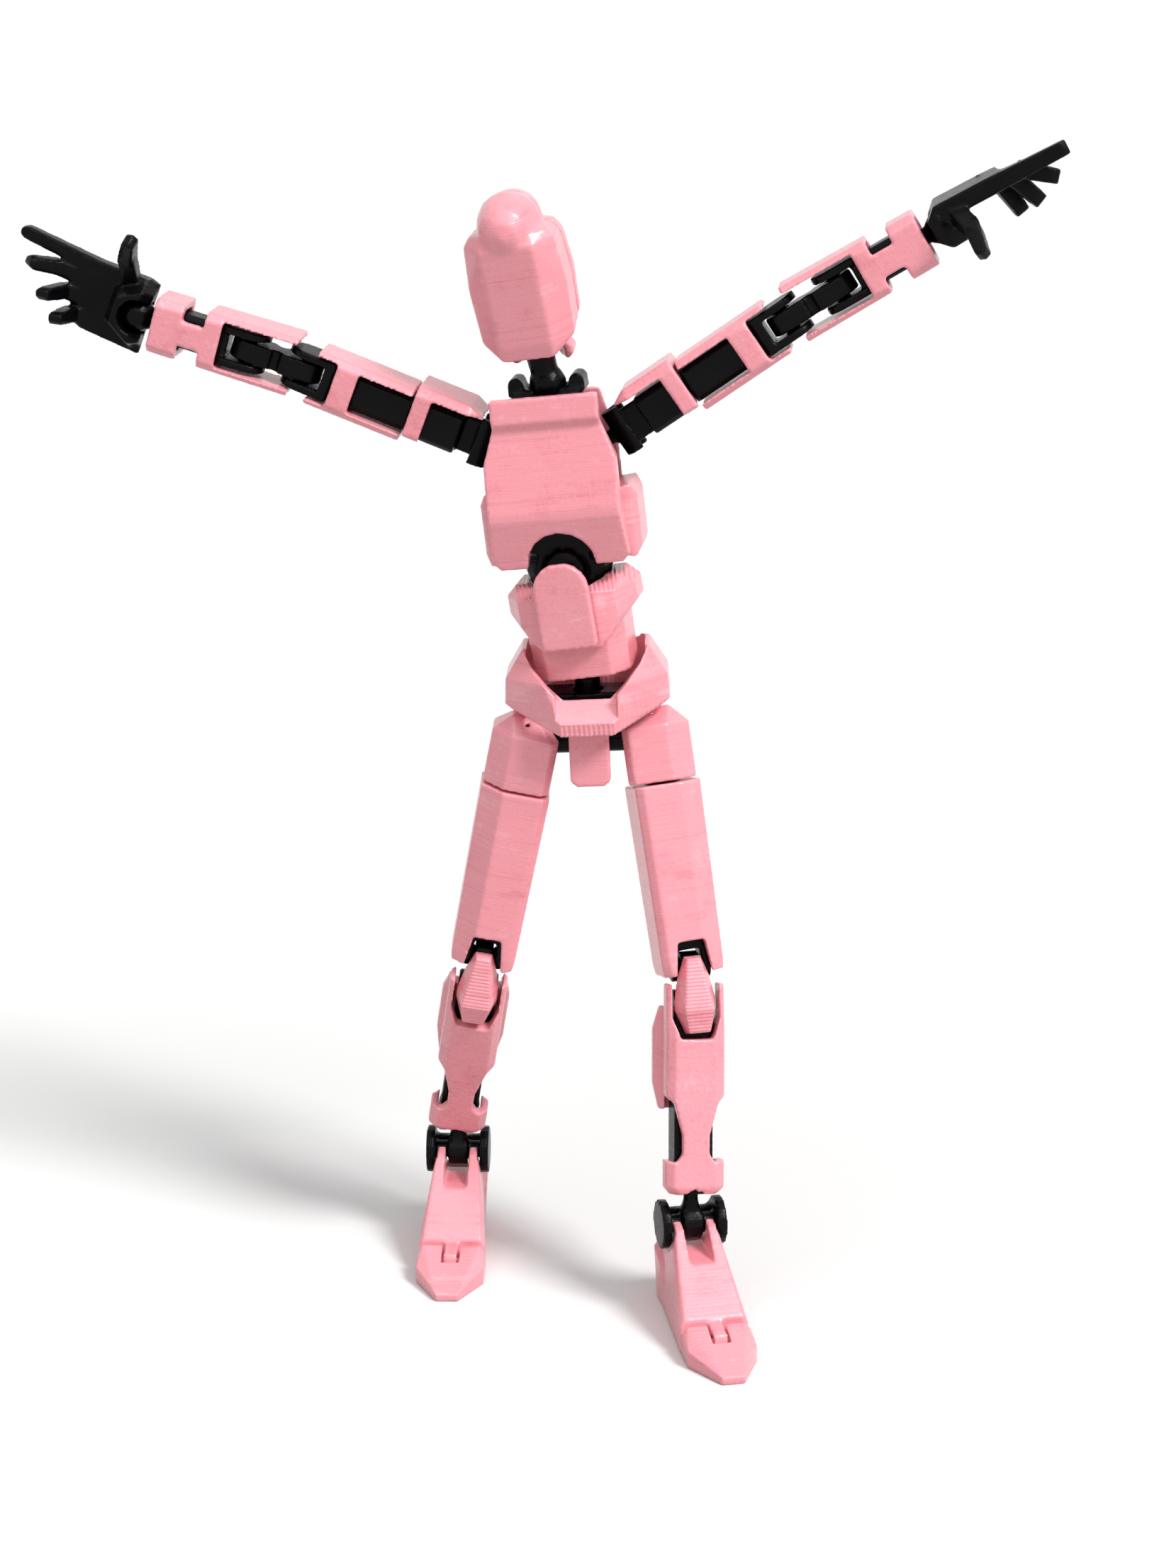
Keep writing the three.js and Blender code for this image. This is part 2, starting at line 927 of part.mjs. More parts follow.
function abdomenWings() {
  const w = WING;
  const outer = hull(bothSides([
    [w.innerHalf, -w.front, w.bottom],
    [w.lowHalf, -w.lowFront, w.low],
    [w.faceHalf, -w.faceFront, w.faceLow],
    [w.faceHalf, -w.faceFront, w.faceHigh],
    [w.innerHalf, -w.front, w.innerHigh],
    [w.tipHalf, -w.tipFront, w.tipLow],
    [w.tipHalf, -w.tipFront, w.tipHigh],
    [w.tipHalf, w.tipBack, w.tipLow],
    [w.tipHalf, w.tipBack, w.tipHigh],
    [w.topHalf, -w.topFront, w.top],
    [w.topHalf, w.tipBack, w.top],
    [w.innerHalf, w.footBack, w.bottom],
    [w.lowHalf, w.back, w.faceLow],
    [w.lowHalf, w.back, w.faceHigh],
  ]));
  const bowl = ball(WAIST_CUP + GAP, [0, 0, WAIST.toChest]);
  const blockRoom = (z) => octagon(BLOCK.half + BLOCK.flare + GAP, BLOCK.front + GAP,
    BLOCK.back + GAP, BLOCK.chamfer, z);
  const overBlock = hull([...blockRoom(w.bottom - OVER), ...blockRoom(BLOCK.top + GAP)]);
  const shaft = rod('z', WAIST.columnRadius + GAP, 0, w.top + OVER);
  return cut(outer, bowl, overBlock, shaft);
}

function abdomenTongue() {
  const t = TONGUE;
  const outline = [[t.half - t.corner, t.bottom], [t.half, t.bottom + t.corner]];
  for (let i = 0; i < FINE / 2; i += 1) {
    const angle = (Math.PI * i) / FINE;
    outline.push([t.half * Math.cos(angle), t.top - t.half + t.half * Math.sin(angle)]);
  }
  const front = -WING.front - GAP - t.thick;
  return extrude(mirrored(outline), 'y', front, -WING.front - GAP);
}

// Chest
function chestFrame() {
  const c = CHEST;
  const s = SHOULDER;
  const cup = cut(ball(WAIST_CUP), box(-THROUGH, THROUGH, -THROUGH, THROUGH, -THROUGH, c.cupBottom));
  const ribs = box(-c.lowHalf, c.lowHalf, -c.frameFront, c.frameBack, c.lowBottom, c.shelf);
  const spine = box(-c.spineHalf, c.spineHalf, -c.frameFront, c.frameBack, c.shelf - SINK,
    c.frameTop);
  const trimFront = box(-THROUGH, THROUGH, -THROUGH, -c.frameFront, -THROUGH, THROUGH);
  const trimBack = box(-THROUGH, THROUGH, c.frameBack, THROUGH, -THROUGH, THROUGH);
  const aim = THREE.MathUtils.degToRad((POSE.right.stemRaise + POSE.left.stemRaise) / 2);
  const bosses = [];
  const bores = [];
  for (const side of [-1, 1]) {
    const centre = [side * s.side, s.back, s.height];
    const mouth = [
      centre[0] + side * s.boreReach * Math.cos(aim),
      centre[1],
      centre[2] + s.boreReach * Math.sin(aim),
    ];
    bosses.push(ball(s.bossRadius, centre));
    bores.push(ball(s.ballRadius + GAP, centre));
    bores.push(strut(centre, mouth, s.stemRadius + GAP, s.boreFlare));
  }
  return cut(join(cup, ribs, spine, ...bosses), trimFront, trimBack, ball(WAIST_BALL + GAP),
    ...bores);
}

function chestArch() {
  return rod('y', PLATE.archRadius, -THROUGH, THROUGH, [0, 0, PLATE.archHeight]);
}

function chestFrontPlate() {
  const p = PLATE;
  const blank = extrude(mirrored([
    [p.bottomHalf, p.bottom],
    [p.cornerHalf, p.corner],
    [p.wideHalf, p.crease],
    [p.wideHalf, p.wide],
    [p.neckHalf, p.step],
    [p.neckHalf, p.top],
  ]), 'y', -THROUGH, -p.back);
  const depth = extrude([
    [-p.back + OVER, p.bottom - OVER],
    [-p.bottomFront, p.bottom - OVER],
    [-p.bottomFront, p.bottom],
    [-p.creaseFront, p.crease - p.creaseSoft],
    [-p.creaseFront, p.crease + p.creaseSoft],
    [-p.stepFront, p.step - p.collarLip],
    [-p.collarFront, p.step + p.collarLip],
    [-p.topFront, p.top + OVER],
    [-p.back + OVER, p.top + OVER],
  ], 'x', -THROUGH, THROUGH);
  const door = box(-p.archRadius, p.archRadius, -THROUGH, THROUGH, -THROUGH, p.archHeight);
  return cut(blank.intersect(depth), chestArch(), door);
}

function chestBackPlate() {
  const p = BACKPLATE;
  const outer = hull(bothSides([
    [p.half - p.cornerInset, p.front, p.bottom],
    [p.half, p.front, p.bottom + p.corner],
    [p.half, p.front, p.wide],
    [p.neckHalf, p.front, p.top],
    [p.half - p.slopeSide, p.deep, p.bottom + p.slopeBottom],
    [p.half - p.slopeSide, p.deep, p.wide - p.slopeWide],
    [p.neckHalf - p.slopeTop, p.deepTop, p.top],
  ]));
  return cut(outer, chestArch());
}

// The side plates stand out past the edges of the back plate, beside the ribs of the frame
function sidePlate() {
  const f = FLANK;
  const inner = CHEST.lowHalf + GAP;
  const outer = BACKPLATE.half + f.reach;
  const shoulder = BACKPLATE.half + f.shoulderReach;
  const front = CHEST.frameFront;
  const back = CHEST.frameBack;
  return hull([
    [inner, -front, f.bottom + f.rise],
    [inner, back, f.bottom + f.rise],
    [inner, -front, f.top - f.fall],
    [inner, back, f.top - f.fall],
    [shoulder, -front + f.bottomInset, f.bottom],
    [shoulder, back - f.bottomInset, f.bottom],
    [outer, -front + f.faceInset, f.low],
    [outer, back - f.faceInset, f.low],
    [outer, -front + f.faceInset, f.high],
    [outer, back - f.faceInset, f.high],
    [shoulder, -front + f.topInset, f.top],
    [shoulder, back - f.topInset, f.top],
  ]);
}

// Neck and head
function neckBase() {
  const n = NECK;
  const foot = box(-n.footHalf, n.footHalf, -n.footDepth, n.footDepth, CHEST.frameTop + GAP,
    n.blockBottom + n.bevel);
  const edge = n.depth - n.bevel;
  const block = hull([-1, 1].flatMap((end) => bothSides([
    [n.baseHalf - 2 * n.bevel, end * n.depth, n.blockBottom],
    [n.baseHalf, end * edge, n.blockBottom + n.bevel],
    [n.baseHalf, end * edge, n.blockTop],
  ])));
  const lobes = [-1, 1].flatMap((side) => {
    const middle = side * (n.baseHalf - n.lobeRadius);
    return [
      rod('y', n.lobeRadius, -n.lobeDepth, n.lobeDepth, [middle, 0, n.lobeHeight], FINE),
      box(middle - n.lobeRadius, middle + n.lobeRadius, -n.lobeDepth, n.lobeDepth,
        n.blockTop - SINK, n.lobeHeight),
    ];
  });
  const socket = ball(n.ballRadius + GAP, [0, 0, n.height]);
  return cut(join(foot, block, ...lobes), socket);
}

function neckPost() {
  const n = NECK;
  const base = ball(n.ballRadius);
  const post = strut([0, 0, 0], [0, 0, n.postLength], n.footRadius, n.postRadius);
  const top = ball(n.headBall, [0, 0, n.postLength]);
  return join(base, post, top);
}

// Points of a ball, for a rounded form stretched between several of them
function ballPoints(radius, centre) {
  const shape = new THREE.SphereGeometry(radius, ROUND, BALL_RINGS);
  shape.translate(...centre);
  const at = shape.attributes.position;
  return Array.from({ length: at.count }, (_, i) => [at.getX(i), at.getY(i), at.getZ(i)]);
}

function headBlank() {
  const h = HEAD;
  const box = hull(bothSides([
    [h.chinHalf, -h.chinFront, h.chin],
    [h.chinHalf, h.nape, h.chin],
    [h.jawHalf, -h.front + h.facet, h.jaw],
    [h.jawHalf, h.back - h.facet, h.jawHigh],
    [h.half, -h.front + h.facet, h.cheek],
    [h.half, h.back - h.facet, h.cheek],
    [h.templeHalf, -h.front + h.facet, h.sideTop],
    [h.templeHalf, h.back - h.facet, h.sideTopBack],
    [h.faceHalf, -h.front, h.jaw],
    [h.faceHalf, -h.front, h.sideTop],
    [h.faceHalf, h.back, h.jawHigh],
    [h.faceHalf, h.back, h.backTop],
    [h.bevelHalf, -h.front + h.facet, h.bevelTop],
    [h.bevelHalf, h.back - h.facet, h.bevelTopBack],
    [h.browHalf, -h.brow, h.bevelTop],
    [h.browHalf, h.crownEdge, h.crownEdgeTop],
  ]));
  const dome = hull([
    ...ballPoints(h.domeRadius, [0, -h.domeForward, h.domeHeight]),
    ...ballPoints(h.ridgeRadius, [0, -h.ridgeForward, h.ridgeHeight]),
    ...ballPoints(h.crownRadius, [0, h.crownBack, h.crownHeight]),
  ]);
  return join(box, dome);
}

function throat() {
  const h = HEAD;
  const lobeFoot = h.chin - h.lobeDrop - h.lobeRadius;
  return hull([
    ...octagon(h.throatHalf, h.throatDepth, h.throatDepth, h.throatChamfer, lobeFoot - OVER),
    ...octagon(h.throatTopHalf, h.throatTopHalf, h.throatTopHalf, h.throatChamfer, h.throatTop),
  ]);
}

function headFront() {
  const keep = box(-THROUGH, THROUGH, -THROUGH, HEAD.seam - GAP / 2, -THROUGH, THROUGH);
  return cut(headBlank().intersect(keep), throat());
}

function headBack() {
  const h = HEAD;
  const start = h.seam + GAP / 2;
  const end = h.nape - GAP;
  const keep = box(-THROUGH, THROUGH, start, THROUGH, -THROUGH, THROUGH);
  const lobes = [-1, 1].map((side) => join(
    rod('y', h.lobeRadius, start, end, [side * h.lobeSide, 0, h.chin - h.lobeDrop], FINE),
    box(side * h.lobeSide - h.lobeRadius / 2, side * h.lobeSide + h.lobeRadius / 2, start, end,
      h.chin - h.lobeDrop, h.chin + SINK),
  ));
  return cut(join(headBlank().intersect(keep), ...lobes), throat());
}

// Arm
function shoulderKnuckle() {
  const s = SHOULDER;
  const knob = ball(s.ballRadius);
  const stem = rod('x', s.stemRadius, 0, s.toHinge - s.boreRadius - SINK);
  const barrel = rod('z', s.barrelRadius, -s.barrelHalf, s.barrelHalf, [s.toHinge, 0, 0]);
  const bore = rod('z', s.boreRadius, -THROUGH, THROUGH, [s.toHinge, 0, 0]);
  const lip = THREE.MathUtils.degToRad(s.mouth);
  const end = s.toHinge + s.mouthReach;
  const edge = [s.toHinge + s.mouthReach * Math.cos(lip), s.mouthReach * Math.sin(lip)];
  const mouth = extrude([
    [s.toHinge, 0],
    [edge[0], -edge[1]],
    [end, -s.mouthReach],
    [end, s.mouthReach],
    edge,
  ], 'z', -THROUGH, THROUGH);
  return cut(join(knob, stem, barrel), bore, mouth);
}

function shoulderBlock() {
  const b = SHOULDER_BLOCK;
  const pin = rod('z', SHOULDER.boreRadius - GAP, -b.pinHalf, b.pinHalf, [0, 0, 0], FINE);
  const neck = box(0, b.start + SINK, -b.neckHalf, b.neckHalf, -b.neckHeight, b.neckHeight);
  const body = tube(b.half, b.depth, b.chamfer, b.start, b.end);
  const pegHole = rod('x', UPPER_ARM.pegRadius + GAP, b.end - UPPER_ARM.pegLength - GAP,
    b.end + OVER);
  return join(pin, neck, cut(body, pegHole));
}

function shoulderPad() {
  const p = PAD;
  const end = SLEEVE.start - GAP;
  const inner = SHOULDER_BLOCK.depth + GAP;
  const face = p.depth - p.chamfer;
  const parts = [hull([-1, 1].flatMap((side) => [
    [p.start, side * face, p.under + SINK],
    [p.start + p.bevel, side * face, p.top - p.topDrop],
    [p.full, side * face, p.top],
    [end, side * face, p.top],
    [p.full, side * p.depth, p.under],
    [end, side * p.depth, p.under],
  ]))];
  for (const side of [-1, 1]) {
    parts.push(hull([p.strap, end].flatMap((x) => [
      [x, side * inner, p.under + SINK],
      [x, side * p.depth, p.under + SINK],
      [x, side * inner, p.strapBottom],
      [x, side * (p.depth - p.strapTaper), p.strapBottom + p.strapCorner],
    ])));
  }
  return join(...parts);
}

// A fork from one station to another, whose two cheeks hold one pin along Z at the origin
function fork(from, to, radius, half, inner, pin) {
  const outline = stadium(from, to, radius);
  const high = extrude(outline, 'z', inner + GAP, half);
  const low = extrude(outline, 'z', -half, -inner - GAP);
  return join(high, low, rod('z', pin, -half + PIN_INSET, half - PIN_INSET, [0, 0, 0], FINE));
}

function upperArmFrame() {
  const a = UPPER_ARM;
  const e = ELBOW;
  const peg = rod('x', a.pegRadius, a.start - GAP - a.pegLength, a.start + SINK, [0, 0, 0], FINE);
  const body = tube(a.boxHalf, a.boxDepth, a.boxChamfer, a.start, a.boxEnd);
  const neck = box(a.boxEnd - SINK, a.forkStart + SINK, -a.neckHalf, a.neckHalf, -a.boxHalf,
    a.boxHalf);
  const reach = a.elbow - a.forkStart;
  const grip = fork(-reach + e.barrelRadius, 0, e.barrelRadius, e.forkHalf, e.linkHalf,
    e.pinRadius);
  const root = box(-reach, -e.linkRadius - GAP, -e.barrelRadius, e.barrelRadius, -e.forkHalf,
    e.forkHalf);
  return join(peg, body, neck, shifted(join(grip, root), a.elbow, 0, 0));
}

function upperArmArmor() {
  const s = SLEEVE;
  const a = UPPER_ARM;
  const outer = tube(s.half, s.depth, s.chamfer, s.start, s.end);
  const inner = tube(a.boxHalf + GAP, a.boxDepth + GAP, a.boxChamfer, s.start - OVER, s.end + OVER);
  const elbowHalf = ELBOW.forkHalf + GAP;
  const elbowRoom = box(s.bandEnd, s.end + OVER, -THROUGH, THROUGH, -elbowHalf, elbowHalf);
  const window = box(s.start - OVER, s.windowEnd, -THROUGH, THROUGH, -s.windowHalf, s.windowHalf);
  return cut(outer, inner, elbowRoom, window);
}

// A flat bar with a pin hole at each end of its length
function linkBar(length, radius, half, pin) {
  const bar = extrude(stadium(0, length, radius), 'z', -half, half);
  const holes = [0, length].map((x) => rod('z', pin + GAP, -THROUGH, THROUGH, [x, 0, 0], FINE));
  return cut(bar, ...holes);
}

function elbowLink() {
  const e = ELBOW;
  const bar = linkBar(e.linkLength, e.linkRadius, e.linkHalf, e.pinRadius);
  const waist = [-1, 1].map((side) => rod('z', e.waistRadius, -THROUGH, THROUGH,
    [e.linkLength / 2, side * e.linkRadius, 0], FINE));
  return cut(bar, ...waist);
}

function forearmFrame() {
  const f = FOREARM;
  const grip = fork(0, f.boxStart, ELBOW.barrelRadius, ELBOW.forkHalf, ELBOW.linkHalf,
    ELBOW.pinRadius);
  const body = tube(f.boxHalf, f.boxDepth, f.boxChamfer, f.boxStart, f.boxEnd);
  const stem = rod('x', f.stemRadius, f.boxEnd - SINK, f.wrist, [0, 0, 0], FINE);
  return join(grip, body, stem, ball(f.ballRadius, [f.wrist, 0, 0]));
}

function forearmArmor() {
  const g = GUARD;
  const f = FOREARM;
  const shell = hull([
    ...octagon(g.depth, g.half, g.half, g.chamfer, g.start).map(([y, z, x]) => [x, y, z]),
    ...octagon(g.depth, g.wristHalf, g.wristHalf, g.chamfer, g.end).map(([y, z, x]) => [x, y, z]),
  ]);
  const bore = tube(ELBOW.forkHalf + GAP, ELBOW.barrelRadius + GAP, f.boxChamfer,
    g.start - OVER, g.bodyEnd);
  const wristBore = tube(f.boxHalf + GAP, f.boxDepth + GAP, f.boxChamfer, g.bodyEnd - OVER,
    g.end + OVER);
  const window = box(g.start - OVER, g.windowEnd, -THROUGH, THROUGH, -g.inner, g.inner);
  const besideNeck = [
    box(g.bodyEnd, g.neckEnd, -THROUGH, THROUGH, g.neckHalf, THROUGH),
    box(g.bodyEnd, g.neckEnd, -THROUGH, THROUGH, -THROUGH, -g.neckHalf),
  ];
  return cut(shell, bore, wristBore, window, ...besideNeck);
}

// A flat round pad, the section of a finger; across is the way that the pad faces
function pad(centre, radius, depth, across) {
  const facing = new THREE.Vector3(...across).normalize();
  const turn = new THREE.Quaternion().setFromUnitVectors(Y, facing);
  const points = [];
  for (const end of [-1, 1]) {
    for (let i = 0; i < PAD_SIDES; i += 1) {
      const angle = (2 * Math.PI * (i + 0.5)) / PAD_SIDES;
      const point = new THREE.Vector3(radius * Math.cos(angle), end * depth, radius * Math.sin(angle));
      points.push(point.applyQuaternion(turn).add(new THREE.Vector3(...centre)).toArray());
    }
  }
  return points;
}

// A finger or thumb through its stations, each section facing square to the run
function digit(stations, radius, tip) {
  const pieces = [];
  for (let i = 0; i + 1 < stations.length; i += 1) {
    const [from, to] = [stations[i], stations[i + 1]];
    const last = i + 2 === stations.length;
    const run = new THREE.Vector3(...to).sub(new THREE.Vector3(...from));
    const across = new THREE.Vector3(0, 1, 0).addScaledVector(run, -run.y / run.lengthSq()).toArray();
    pieces.push(hull([
      ...pad(from, radius, HAND.fingerDepth, across),
      ...pad(to, last ? tip : radius, last ? HAND.tipDepth : HAND.fingerDepth, across),
    ]));
  }
  return pieces;
}

function hand() {
  const h = HAND;
  const level = (h.back + h.palmFace) / 2;
  const raised = (stations) => stations.map(([x, y, z]) => [x, y + level, z]);
  const bowl = hull([
    ...pad([0, 0, 0], h.cupRadius, h.cupFront, [0, 1, 0]),
    ...pad([0, h.palmFace + h.cupFootDepth, 0], h.cupFoot, h.cupFootDepth, [0, 1, 0]),
  ]);
  const palm = extrude([
    [-h.wristEnd, -h.palmLowHalf],
    [h.knuckle, -h.palmLowKnuckle],
    [h.palmEnd, -h.palmLowEnd],
    [h.palmHighEnd, h.palmHighTip],
    [h.knuckle, h.palmHighHalf],
    [-h.wristEnd, h.palmHighHalf],
  ], 'y', h.palmFace, h.back);
  const digits = [
    ...h.fingers.flatMap((stations) => digit(raised(stations), h.finger, h.fingertip)),
    ...digit(raised(h.thumbStations), h.thumb, h.thumbTip),
  ];
  const socket = ball(FOREARM.ballRadius + GAP);
  const palmHole = rod('y', FOREARM.ballRadius, -THROUGH, 0);
  const mouth = box(-THROUGH, 0, -THROUGH, h.stemRoom, -h.mouthHalf, h.mouthHalf);
  const slant = h.wristChamfer - h.wristEnd;
  const wristCut = extrude([
    [-THROUGH, -THROUGH],
    [slant, -THROUGH],
    [slant, -h.cupFront],
    [-h.wristEnd, -h.cupFront + h.wristChamfer],
    [-h.wristEnd, h.back - h.wristChamfer],
    [slant, h.back],
    [slant, THROUGH],
    [-THROUGH, THROUGH],
  ], 'z', -THROUGH, THROUGH);
  return cut(join(bowl, palm, ...digits), socket, palmHole, mouth, wristCut);
}

// Leg
function thighSection(grow, z) {
  const t = THIGH;
  const inner = -t.inner - grow;
  const outer = t.outer + grow;
  const front = -t.front - grow;
  const back = t.back + grow;
  return [
    [inner, front + t.chamfer, z],
    [inner + t.chamfer, front, z],
    [t.faceOuter, front, z],
    [outer, -t.chamferFront, z],
    [outer, back - t.backChamfer, z],
    [outer - t.backChamfer, back, z],
    [inner + t.chamfer, back, z],
    [inner, back - t.chamfer, z],
  ];
}

function hipJoint() {
  const knuckle = rod('x', HIP.knuckleRadius, -HIP.knuckleHalf, HIP.knuckleHalf);
  const pin = rod('y', HIP.pinRadius, -HIP.pinHalf, HIP.pinHalf, [0, 0, 0], FINE);
  const bore = rod('x', HIP.axleRadius + GAP, -THROUGH, THROUGH);
  return cut(join(knuckle, pin), bore);
}

function upperThigh() {
  const t = THIGH;
  const outer = hull([
    ...thighSection(-t.topInset, t.top),
    ...thighSection(0, t.bevel),
    ...thighSection(0, t.split + GAP / 2),
  ]);
  const sweep = Math.hypot(HIP.knuckleHalf, HIP.knuckleRadius) + GAP;
  const room = HIP.knuckleRadius + GAP;
  const pocket = rod('y', sweep, -room, room);
  const axleSlot = box(-THROUGH, 0, -t.slotHalf, t.slotHalf, t.slotBottom, THROUGH);
  const pinHole = rod('y', HIP.pinRadius + GAP, -HIP.pinHalf - GAP, HIP.pinHalf + GAP,
    [0, 0, 0], FINE);
  const swivel = rod('z', t.swivelRadius + GAP, -THROUGH, t.slotBottom);
  return cut(outer, pocket, axleSlot, pinHole, swivel);
}

function lowerThigh() {
  const t = THIGH;
  const outer = hull([
    ...thighSection(t.ledge, t.split - GAP / 2),
    ...thighSection(-t.taper / 2, t.foot),
    ...thighSection(-t.taper, t.bottom),
  ]);
  const half = KNEE.forkHalf + GAP;
  const depth = KNEE.barrelRadius + GAP;
  const bore = box(-half, half, -depth, depth, -THROUGH, t.split - WALL);
  const swivel = rod('z', t.swivelRadius + GAP, t.split - WALL - OVER, THROUGH);
  const notch = extrude([
    [-t.notchHalf, t.notchTop],
    [t.notchHalf, t.notchTop],
    [t.notchFoot, t.bottom - OVER],
    [-t.notchFoot, t.bottom - OVER],
  ], 'y', -THROUGH, 0);
  const rear = box(-half, half, 0, THROUGH, -THROUGH, t.rearTop);
  return cut(outer, bore, swivel, notch, rear);
}

// A fork with its pin along X at the origin and its root straight up
function kneeFork(from, to) {
  const flat = fork(from, to, KNEE.barrelRadius, KNEE.forkHalf, KNEE.linkHalf, KNEE.pinRadius);
  return moved(flat, new THREE.Matrix4().makeRotationY(-Math.PI / 2));
}

function thighFrame() {
  const t = THIGH;
  const k = KNEE;
  const grip = shifted(kneeFork(0, t.forkRoot), 0, 0, t.knee);
  const top = t.split - WALL - GAP;
  const column = box(-k.forkHalf, k.forkHalf, -k.barrelRadius, k.barrelRadius,
    t.knee + k.barrelRadius + GAP, top);
  const swivel = rod('z', t.swivelRadius, top - SINK, t.swivelTop);
  return join(grip, column, swivel);
}

function kneeLink() {
  const k = KNEE;
  const bar = linkBar(k.linkLength, k.barrelRadius, k.linkHalf, k.pinRadius);
  return moved(bar, new THREE.Matrix4().makeRotationY(Math.PI / 2));
}

function kneeCap() {
  const c = CAP;
  return hull(bothSides([
    [c.topHalf, -c.back, c.top],
    [c.tipHalf, -c.topFront, c.tip],
    [c.upperHalf, -c.back, c.upper],
    [c.crestHalf, -c.back, c.crestTop],
    [c.crestHalf, -c.back, c.crest],
    [c.crestFaceHalf, -c.crestFront, c.crest],
    [c.bottomHalf, -c.back, c.bottom],
    [c.bottomFaceHalf, -c.bottomFront, c.bottomFace],
  ]));
}

function shinFrame() {
  const s = SHIN;
  const grip = kneeFork(s.forkRoot, 0);
  const column = box(-s.frameHalf, s.frameHalf, -s.frameFront, s.frameBack, s.frameBottom,
    s.frameTop);
  const cup = rod('z', s.socketRadius, s.flangeBottom, s.socketTop);
  const socket = ball(ANKLE.ballRadius + GAP, [0, 0, s.socket]);
  const mouth = hull([
    ...octagon(s.mouthHalf, s.mouthHalf, s.mouthHalf, s.mouthChamfer, s.socket),
    ...octagon(s.mouthFoot, s.mouthFoot, s.mouthFoot, s.mouthChamfer, s.flangeBottom - OVER),
  ]);
  return cut(join(grip, column, cup), socket, mouth);
}

function shinArmor() {
  const s = SHIN;
  const blank = hull([
    ...octagon(s.half, s.topFront, s.back, s.chamfer, s.top),
    ...octagon(s.half, s.front, s.back, s.chamfer, s.notch),
    ...octagon(s.half, s.lowFront, s.back, s.chamfer, s.flangeTop),
    ...octagon(s.flangeHalf, s.lowFront, s.back, s.chamfer, s.flangeFoot),
    ...octagon(s.flangeFootHalf, s.flangeFootFront, s.back, s.chamfer, s.flangeBottom),
  ]);
  const wide = s.flangeHalf + OVER;
  const form = extrude(mirrored([
    [wide, s.flangeBottom - OVER],
    [wide, s.flangeTop + s.flangeRise],
    [s.flangeInnerHalf, s.flangeTop],
    [s.neckHalf, s.neckLow],
    [s.neckHalf, s.neckHigh],
    [s.waistHalf, s.waist],
    [wide, s.wideLow],
    [wide, s.top + OVER],
  ]), 'y', -THROUGH, THROUGH);
  const bore = box(-s.frameHalf - GAP, s.frameHalf + GAP, -s.frameFront - GAP, THROUGH,
    -THROUGH, THROUGH);
  const cupRoom = rod('z', s.socketRadius + GAP, -THROUGH, s.socketTop + GAP);
  const capHalf = CAP.crestHalf + GAP;
  const capRoom = extrude(mirrored([
    [CAP.bottomHalf + s.notchRoom, s.notch],
    [capHalf, s.notch + s.notchRise],
    [capHalf, THROUGH],
  ]), 'y', -THROUGH, THROUGH);
  return cut(blank.intersect(form), bore, cupRoom, capRoom);
}

function calfPanel() {
  const c = CALF;
  const outer = hull([
    ...octagon(c.endHalf, -c.front, c.topBack, c.endChamfer, c.top),
    ...octagon(c.half, -c.front, c.back, c.chamfer, c.full),
    ...octagon(c.half, -c.front, c.back, c.chamfer, c.taper),
    ...octagon(c.endHalf, -c.front, c.bottomBack, c.endChamfer, c.bottom),
  ]);
  const bore = box(-c.innerHalf, c.innerHalf, -THROUGH, SHIN.frameBack + GAP, -THROUGH, THROUGH);
  const kneeRoom = box(-c.innerHalf, c.innerHalf, -THROUGH, THROUGH, c.kneeRoom, THROUGH);
  return cut(outer, bore, kneeRoom);
}

function ankleJoint() {
  const a = ANKLE;
  const inner = FOOT.prongHalf + GAP;
  const knob = ball(a.ballRadius, [0, 0, a.ballHeight]);
  const stem = rod('z', a.stemRadius, 0, a.ballHeight, [0, 0, 0], FINE);
  const collar = hull([
    ...octagon(a.hubHalf, a.collarDepth, a.collarDepth, a.collarChamfer, a.collarBottom),
    ...octagon(a.stemRadius, a.collarTopDepth, a.collarTopDepth, a.collarChamfer, a.collarTop),
  ]);
  const hub = rod('x', a.hubRadius, -a.hubHalf, a.hubHalf);
  const axle = rod('x', a.axleRadius, -inner - SINK, inner + SINK, [0, 0, 0], FINE);
  const cheeks = [
    rod('x', a.cheekRadius, inner, a.cheekOuter),
    rod('x', a.cheekRadius, -a.cheekOuter, -inner),
  ];
  const bridge = rod('x', a.cheekRadius - SINK, -inner - SINK, inner + SINK).intersect(
    box(-THROUGH, THROUGH, a.bridgeFront, THROUGH, a.bridgeBottom, a.bridgeTop));
  return join(knob, stem, collar, hub, axle, ...cheeks, bridge);
}

